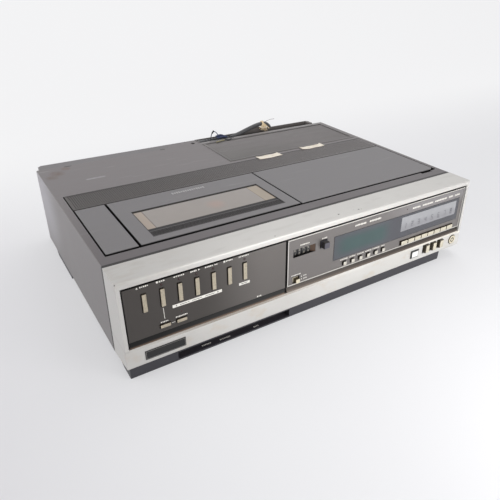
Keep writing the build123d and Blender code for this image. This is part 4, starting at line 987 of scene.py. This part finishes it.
def grained_grey(name, colour, grain, depth, streaks, gap=None):
    """Grey housing finish: grain, clouds and streaks, and painted shade, near black, below the gap's
    height.
    """
    finish = Finish(name, colour, 0.46)
    x, y, z = finish.axes()
    speck = finish.noise(grain, detail=2)
    cloud = finish.noise(70, (0.5, 1, 1), 4)
    streak = finish.noise(9, (0.1, 1, 1), 4) * finish.facing(2)
    scuff = finish.noise(7, (0.12, 1, 1), 4).rise(0.6, 0.8) * finish.facing(2)
    finish.mottle(speck, 0.08)
    finish.mottle(cloud, 0.13)
    finish.over(streak * streaks, (104, 88, 92))
    finish.over(scuff * streaks, (190, 188, 186))
    if gap is not None:
        # painted shade: in the well, everything below the gap's height is near black
        inside = x.within(*WELL_X, 0.1) * y.within(*WELL_Y, 0.1)
        finish.over((1 - z.rise(gap - 0.4, gap)) * inside, (20, 18, 17))
    finish.feed("Roughness", cloud * 0.2 + 0.36)
    finish.bump(speck, depth)
    return finish


# %% Paint of the cabinet
paint = grained_grey("grey_paint", (124, 120, 120), 0.9, 0.03, 0.22, TOP - 0.5)
x, y, z = paint.axes()
paint.over((1 - y.rise(FRONT + 20, FRONT + 230)) * paint.facing(2) * 0.75, (92, 87, 89))
blotch = paint.noise(6, detail=4)
STAINS = [
    (-219, 284, 9, (104, 84, 76)),
    (-228, 272, 7, (104, 88, 80)),
    (-205, 297, 6, (112, 92, 84)),
]
for stain_x, depth, size, brown in STAINS:
    spot = paint.near(on_top(stain_x, depth, 0) / MM, size * 0.4, size) * (blotch * 1.4)
    paint.over(spot * 0.75, brown)
scratch = x.within(-190, -170, 4) * y.within(FRONT + 245, FRONT + 247.5, 1.5) * paint.facing(2)
paint.over(scratch * blotch * 0.9, (176, 174, 178))
paint.over(1 - y.rise(FRONT + 36, FRONT + 37.2), (40, 36, 36))
# painted highlight: edges a little brighter than the flats
paint.over(paint.edges(0.8) * 0.3, (176, 174, 174))
rear_line = y.rise(FRONT + 301.6, FRONT + 302.4) * x.rise(-2, 2) * paint.facing(2)
paint.over(rear_line * 0.5, (162, 160, 158))
# painted highlight on the left side, near the rear top corner
painted_side_highlight = paint.near((-240, FRONT + 292, 82), 6, 95) * paint.facing(0, -1)
paint.over(painted_side_highlight * 0.6, (176, 174, 181))
dress(paint, "top_cover")

# %% [markdown]
# The lid is the same plastic as the covers beside it. Its window lies in a sunk opening that is
# painted nearly black as painted shade, and along the front of that opening runs a dark band with
# fine ribs: too fine to cut in the mesh, so a sine wave along the depth draws them.

# %% Plastic of the covers and the lid
LID_GREY = ((120, 118, 119), 0.5, 0.012, 0.12, TOP - 0.6)
plastic = grained_grey("grey_plastic", *LID_GREY)
dress(plastic, "left_top_cover", "tuner_flap", whisker_piece)
lid_plastic = grained_grey("lid_plastic", *LID_GREY)
x, y, z = lid_plastic.axes()
OPENING_FRONT, BAND_REAR, OPENING_REAR, RIB_RATE = FRONT + 64.6, FRONT + 79.2, FRONT + 129.2, 3.6
across = x.within(-176.9, -11.9, 0.1)
# painted shade: the sunk opening is painted nearly black
lid_plastic.over(across * y.within(OPENING_FRONT, OPENING_REAR, 0.1), (40, 37, 36))
band = across * y.within(OPENING_FRONT, BAND_REAR, 0.1)
ribs = lid_plastic.shade(tint(64, 60, 61), lid_plastic.waves(y * RIB_RATE), 0.3)
lid_plastic.over(band * lid_plastic.facing(2), ribs)
dress(lid_plastic, "cassette_lid")

# %% Ribbed strip, grille and rear cover
ribbed = grained_grey("ribbed_plastic", (128, 124, 123), 0.5, 0.012, 0.1, TOP - 0.35)
x, y, z = ribbed.axes()
ribbed.over(1 - x.rise(-240, 140), (82, 78, 76))
# painted shade: the strip's faces in front of and behind its top, down in the gaps, are near black
ribbed.over(1 - y.within(FRONT + 165.4, FRONT + 204.6, 0.4), (22, 20, 20))
dress(ribbed, "ribbed_strip")
louvred = grained_grey("louvred_plastic", (116, 113, 112), 0.5, 0.012, 0.3)
x, y, z = louvred.axes()
louvred.over((1 - y.rise(FRONT + 215, FRONT + 290)) * (1 - x.rise(20, 180)) * 0.8, (98, 95, 93))
louvred.over(louvred.noise(11, (0.18, 0.9, 1), 4).rise(0.4, 0.75) * 0.3, (88, 82, 79))
dress(louvred, "vent_grille")
rear = grained_grey("rear_moulding", (112, 107, 105), 0.6, 0.02, 0.12)
x, y, z = rear.axes()
SCREW_HOLE = (-10.3, 154.7, 104)
rear.over((1 - x.rise(-1, 0)) * z.rise(80, 106), (118, 115, 116))
# painted shade: the screw hole is painted near black
rear.over(rear.near(SCREW_HOLE, 5.4, 0.5), (16, 15, 15))
dress(rear, "rear_cover")

# %% Darker mouldings
moulding = grained_grey("dark_moulding", (64, 62, 62), 0.6, 0.02, 0.1)
dress(moulding, "tuner_tray", "supply_reel", "takeup_reel")
dress(grained_grey("black_plastic", (50, 49, 55), 0.5, 0.01, 0.1), "plinth", "rear_feet")
dress(grained_grey("wheel_plastic", (26, 25, 26), 0.5, 0.01, 0.05), "counter_wheels")

# %% [markdown]
# ## The two control panels
# Both panels are thin metal foil on plastic. The left one is dark bronze and the right one warm
# grey with a bright border line. The foil is brushed along its length, so its grain is a noise
# stretched along X. The left one is painted darker at its far left, as painted shade. At the foot
# the panel folds out to a ledge, a dark tone with painted shade that is black under the panel's
# edge and lighter near the rail. What lies deeper than the foil, behind its edges and inside its
# windows, is painted black as painted shade.

# %% Foils of the control panels
LEFT_PANEL, RIGHT_PANEL = (-234.3, -56.9), (-54.2, 234.3)
LEDGE_TOP, PANEL_TOP = 42.4, 98.9


def foil(name, colour, far_left_shading, panel, ledge_tone_and_shade):
    """Brushed foil of one panel, painted shade in another colour at the far left, and a ledge at its foot
    with painted shade.
    """
    finish = Finish(name, colour, 0.34, {"Metallic": 0.45})
    x, y, z = finish.axes()
    brush = finish.noise(0.7, (0.03, 1, 1), 2)
    cloud = finish.noise(90, detail=2)
    finish.mottle(brush, 0.05)
    finish.mottle(cloud, 0.05)
    # painted shade: the foil takes another colour at the far left
    finish.over(1 - x.rise(-165, -75), far_left_shading)
    # the ledge: a dark tone with painted shade, black under the panel's edge and lighter towards the rail
    stops = [(place, tint(*shade)) for place, shade in ledge_tone_and_shade]
    ledge = finish.node("ShaderNodeValToRGB", {"stops": stops}, {0: z.rise(34.9, 42)})
    finish.over(1 - z.rise(42, LEDGE_TOP), ledge)
    # painted shade: everything outside the panel's front, and what is sunk inside its windows, is near
    # black
    front = x.within(*panel, 0.1) * (1 - z.rise(PANEL_TOP, PANEL_TOP + 0.2))
    sunk = (1 - finish.proud().rise(-2, -1.7)) * z.rise(43, 43.2)
    finish.over(1 - (1 - sunk) * front, (22, 20, 20))
    finish.feed("Roughness", cloud * 0.12 + 0.28)
    finish.bump(brush, 0.004, 0.2)
    return finish


DARK_LEDGE_AND_SHADE = [(0, (104, 86, 72)), (0.1, (42, 34, 29)), (0.3, (8, 6, 6)), (1, (5, 5, 5))]
dress(foil("dark_bronze", (108, 104, 101), (72, 68, 65), LEFT_PANEL, DARK_LEDGE_AND_SHADE), "left_fascia")

# %% Border line, and a painted highlight on the right panel's upper right
WARM_LEDGE_AND_SHADE = [(0, (104, 94, 86)), (0.2, (74, 66, 60)), (0.8, (58, 52, 48)), (1, (42, 38, 35))]
LINE_WIDE = 1.1
warm = foil("warm_grey", (118, 114, 112), (122, 116, 113), RIGHT_PANEL, WARM_LEDGE_AND_SHADE)
x, y, z = warm.axes()
inner = x.within(RIGHT_PANEL[0] + LINE_WIDE, RIGHT_PANEL[1] - LINE_WIDE, 0.05)
inner = inner * z.within(LEDGE_TOP + LINE_WIDE, PANEL_TOP - LINE_WIDE, 0.05)
line = (1 - inner) * warm.proud().rise(-1.15, -0.95) * z.rise(LEDGE_TOP - 0.2, LEDGE_TOP)
warm.over(line, (208, 205, 199))
bevel = x.within(-46.9, -16.7, 0.1) * z.within(76.2, 85.8, 0.1) * (1 - warm.proud().rise(-1.6, -1.4))
warm.over(bevel, (92, 74, 62))
# painted highlight: the panel is paler towards its upper right
warm.over(x.rise(70, 150) * z.rise(78, 92) * (1 - z.rise(96.5, 97.5)) * 0.7, (146, 143, 144))
dress(warm, "right_fascia")

# %% [markdown]
# ## Windows and lenses
# The display sits behind smoked plastic that glows teal where the tubes are and turns blue-grey
# beside them. The channel lens is pale. The lid's window is smoked too, with two tan strips inside
# its ends. All three are glossy, so a coat over a darker body gives the sharp skin of clear plastic.

# %% Display and channel lens
smoked = Finish("smoked_green", (62, 65, 72), 0.16, {"Coat Weight": 0.6, "Coat Roughness": 0.08})
x, y, z = smoked.axes()
haze = smoked.noise(30, detail=2)
smoked.over(x.within(32, 82, 26) * z.within(67, 75, 12) * 0.85, (34, 68, 66))
smoked.over(x.rise(84, 116), (54, 55, 62))
rim = 1 - x.within(11.2, 225.4, 0.2) * z.within(56.4, 85.4, 0.2)
smoked.over(rim * 0.8, (38, 38, 42))
smoked.mottle(haze, 0.12)
smoked.bump(haze, 0.01, 0.2)
dress(smoked, "display_window")

pale_lens = Finish("pale_lens", (148, 149, 152), 0.25, {"Coat Weight": 0.4, "Coat Roughness": 0.1})
x, y, z = pale_lens.axes()
haze = pale_lens.noise(12, (1, 1, 0.5), 3)
pale_lens.over(1 - z.rise(66, 78), (132, 132, 136))
pale_lens.mottle(haze, 0.09)
pale_lens.bump(haze, 0.01, 0.2)
dress(pale_lens, "channel_lens")

# %% Window of the lid
pane = Finish("smoked_window", (142, 134, 127), 0.22, {"Coat Roughness": 0.12})
x, y, z = pane.axes()
haze = pane.noise(20, detail=4)
pane.over(pane.near(on_top(-84, 103, -1) / MM, 2, 14) * 0.25, (178, 128, 104))
pane.over(x.within(-177, -167, 0.8) * 0.6, (166, 146, 124))
pane.over(x.within(-27, -12, 3) * 0.6, (160, 142, 112))
# brown lines inside the window's ends, and painted shade in the gap along its outer ends
lines_and_edge_shade = x.within(-166.4, -165.4, 0.3) + x.within(-28.6, -28, 0.3) + (1 - x.within(-175.2, -14.2, 0.3))
pane.over(lines_and_edge_shade.rise(0.2, 1) * 0.45, (84, 66, 56))
# painted shade: dark along the rear edge of the sunk pane
pane.over(y.rise(FRONT + 124.8, FRONT + 126.6) * 0.85, (46, 40, 38))
shade_front = 1 - y.rise(FRONT + 82.6, FRONT + 83.4)
pane.over(shade_front, (44, 42, 43))
pane.mottle(haze, 0.06)
pane.feed("Coat Weight", 0.5 - shade_front * 0.5)
pane.feed("Roughness", shade_front * 0.4 + 0.22)
pane.bump(haze, 0.01, 0.2)
dress(pane, "lid_window")

# %% [markdown]
# ## Keys and knobs
# The keys were once cream. Their fronts have gone a little grey where fingers touch them, and the
# sides that slide in the panel are painted dark, as painted shade in the slots. The small ones
# beside the display keep white caps, so each shows as a bright front between dark gaps.

# %% A finish with one grain
def grained(name, colour, roughness, size, depth, relief, edge=0.3, detail=4):
    """One colour, with a single grain in its tone, its gloss and its relief."""
    finish = Finish(name, colour, roughness)
    grain = finish.noise(size, detail=detail)
    finish.mottle(grain, depth)
    finish.feed("Roughness", grain * 0.2 + (roughness - 0.1))
    finish.bump(grain, relief, edge)
    return finish


# %% Cream, ivory and satin keys
def key_finish(name, colour, dirt, side, roughness, *nodes):
    """Moulded key: soft clouds and a grey film on its front, and sides painted dark as painted shade."""
    finish = grained(name, colour, roughness, 5, 0.12, 0.02)
    finish.over(finish.noise(2.2, detail=3).rise(0.45, 0.7) * 0.4, dirt)
    # painted shade: every face but the front is painted dark
    finish.over(1 - finish.facing(1, -1), side)
    dress(finish, *nodes)


TAPE_KEYS = [f"{name}_key" for name in "eject record rewind play forward stop pause lock audio".split()]
CLOCK_KEYS = [f"clock_key_{i}" for i in range(1, 7)]
CHANNEL_KEYS = [f"channel_key_{i}" for i in range(1, 9)]
SLIDE_KNOBS = [f"slide_knob_{i}" for i in range(1, 4)]
key_finish("cream_key", (178, 168, 148), (134, 124, 106), (66, 58, 48), 0.4, *TAPE_KEYS)
key_finish("white_key", (198, 194, 184), (154, 147, 132), (54, 49, 44), 0.4, *CLOCK_KEYS)
key_finish("ivory_key", (196, 190, 172), (160, 150, 126), (66, 56, 40), 0.4, *CHANNEL_KEYS)
key_finish("satin_key", (208, 199, 176), (166, 156, 132), (92, 82, 62), 0.38, "timer_knob", "power_key")
key_finish("knob_plastic", (202, 195, 176), (160, 152, 132), (72, 65, 54), 0.4, *SLIDE_KNOBS)
key_finish("reset_plastic", (76, 74, 84), (58, 56, 62), (40, 38, 40), 0.36, "reset_key")

# %% [markdown]
# ## Metal inside
# The carrier, deck and base are zinc-plated sheet, the drum is turned alloy and the sockets are
# tinned. Zinc shows large pale crystals, which a Voronoi pattern gives. The drum's turning lines
# are rings round its axle.

# %% Zinc and tin
def plated(name, colour, roughness, crystal, *nodes):
    """Plated sheet: bright crystals of slightly different gloss."""
    finish = Finish(name, colour, roughness, {"Metallic": 0.9})
    inputs = {"Vector": finish.place() * (1 / crystal), "Scale": 1}
    grains = finish.node("ShaderNodeTexVoronoi", inputs=inputs, output="Color")
    level = finish.node("ShaderNodeSeparateColor", inputs={0: grains})
    finish.mottle(level, 0.08)
    finish.mottle(finish.noise(35, detail=4), 0.1)
    finish.feed("Roughness", level * 0.16 + roughness)
    finish.bump(level, 0.008, 0.3)
    dress(finish, *nodes)


plated("zinc_plate", (176, 174, 168), 0.34, 7, "base_pan", "deck_plate", "cassette_holder")
plated("tin_plate", (196, 196, 194), 0.26, 3, "rear_sockets", "capstan")

# %% Alloy of the drum and the circuit board
alloy = Finish("drum_alloy", (200, 200, 202), 0.22, {"Metallic": 1})
low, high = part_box("head_drum")
drum_middle = (low + high) / (2 * MM)
flat = (alloy.place() - tuple(drum_middle)) * (1, 1, 0)
rings = alloy.waves(alloy.measure("LENGTH", flat) * 7)
alloy.feed("Roughness", rings * 0.1 + 0.2)
alloy.mottle(alloy.noise(12), 0.06)
alloy.bump(rings, 0.004, 0.3)
dress(alloy, "head_drum")

board = Finish("circuit_board", (132, 112, 66), 0.5)
x, y, z = board.axes()
mottle = board.noise(6, detail=3)
board.over(board.noise(3, (1, 0.2, 1), 1).rise(0.5, 0.54) * 0.5, (96, 92, 54))
parts = board.mix(mottle.rise(0.3, 0.7), tint(38, 38, 44), tint(54, 54, 60))
board.over(z.rise(26, 26.6), parts)
board.bump(mottle, 0.02, 0.3)
dress(board, "main_board")

# %% [markdown]
# ## Rubber of the cords
# The lead, its bush and its plug are black rubber gone slightly grey, and the plug's pins are
# brass. The thin wire is blue, and its bare end is darker. The loose wires beside it are navy,
# nearly black and a dull olive.

# %% Rubber and wire finishes
def rubber(name, colour, roughness, *nodes):
    """Soft cable sheath: faint mottling and a dull gloss."""
    finish = grained(name, colour, roughness, 3, 0.16, 0.03)
    dress(finish, *nodes)
    return finish


rubber("black_rubber", (82, 82, 84), 0.45, "mains_bush", mains_cord)
blue = rubber("blue_sheath", (46, 66, 110), 0.45, blue_cord)
blue.over(1 - blue.axes()[0].rise(21, 24), (44, 48, 62))
plug = rubber("plug_rubber", (44, 43, 44), 0.5, "mains_plug")
pin_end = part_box("mains_plug")[0].x / MM + 18.6
pins = 1 - plug.axes()[0].rise(pin_end, pin_end + 0.3)
plug.over(pins, (206, 178, 110))
plug.feed("Metallic", pins * 0.95)
plug.feed("Roughness", 0.5 - pins * 0.25)
SHEATHS = [
    ("navy_sheath", (38, 50, 88), 0.4, "blue"),
    ("dark_sheath", (30, 32, 36), 0.45, ("dark", "wire")),
    ("olive_sheath", (150, 142, 108), 0.5, "pale"),
]
for name, colour, roughness, start in SHEATHS:
    rubber(name, colour, roughness, *[wire for wire in wire_pieces if wire.name.startswith(start)])

# %% [markdown]
# ## Ink, tape and string
# Printed ink is nearly plain, with a trace of wear, and the plates and the raised blocks take the
# same simple paint. The lamps are dark red plastic that is off. Old tape is cream and has gone
# brown in patches, and the string is tan and fibrous.

# %% Inks, plates and lamps
INKS = [
    ("pale_ink", (234, 231, 223), 0.16, [left_marks, right_marks, foot_marks]),
    ("worn_ink", (150, 145, 134), 0.2, [wheel_marks]),
    ("raised_grey", (172, 170, 170), 0.2, [lid_blocks]),
    ("dark_ink", (58, 56, 58), 0.16, [bar_marks, seam_slots]),
    ("lens_ink", (98, 98, 104), 0.12, [lens_marks]),
    ("plate_black", (20, 19, 20), 0.2, [plates, power_ink]),
    ("plate_bright", (128, 126, 122), 0.1, [plate_rims]),
    ("plate_white", (234, 233, 231), 0.05, [plate_field]),
    ("lamp_red", (60, 32, 32), 0.2, [key_lamps, red_dot]),
]
for name, colour, wear, pieces in INKS:
    ink = grained(name, colour, 0.5, 1.4, wear, 0.01, 0.1, 3)
    ink.feed("Coat Weight", 0.5 if name == "lamp_red" else 0)
    dress(ink, *pieces)

# %% Old tape and string
tape_cream = Finish("old_tape", (246, 236, 220), 0.38)
brown = tape_cream.noise(5, (0.6, 1, 1), 4)
tape_cream.over(brown.rise(0.46, 0.7) * 0.4, (190, 166, 126))
tape_cream.bump(brown, 0.05, 0.1)
dress(tape_cream, *tapes)
string_tan = Finish("tan_string", (240, 218, 180), 0.8)
fibre = string_tan.noise(0.6, (1, 1, 0.3), 4)
string_tan.mottle(fibre, 0.3)
string_tan.bump(fibre, 0.1, 0.1)
dress(string_tan, *tie_pieces)
print("finishes", len(made_finishes), "dressed", sum(len(v) for v in made_finishes.values()))

# %% [markdown]
# ## Close the scene
# Every node of the frame must have a finish by now, and the nodes without one are printed. Last, the
# bounds of everything that renders, apart from the backdrop, are measured.

# %% Check for nodes without a finish, and measure the bounds
bare = sorted(
    name for name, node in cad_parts.items()
    if not node.hide_render and not any(name in names for names in made_finishes.values())
)
print("nodes without a finish:", bare)
low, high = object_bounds()
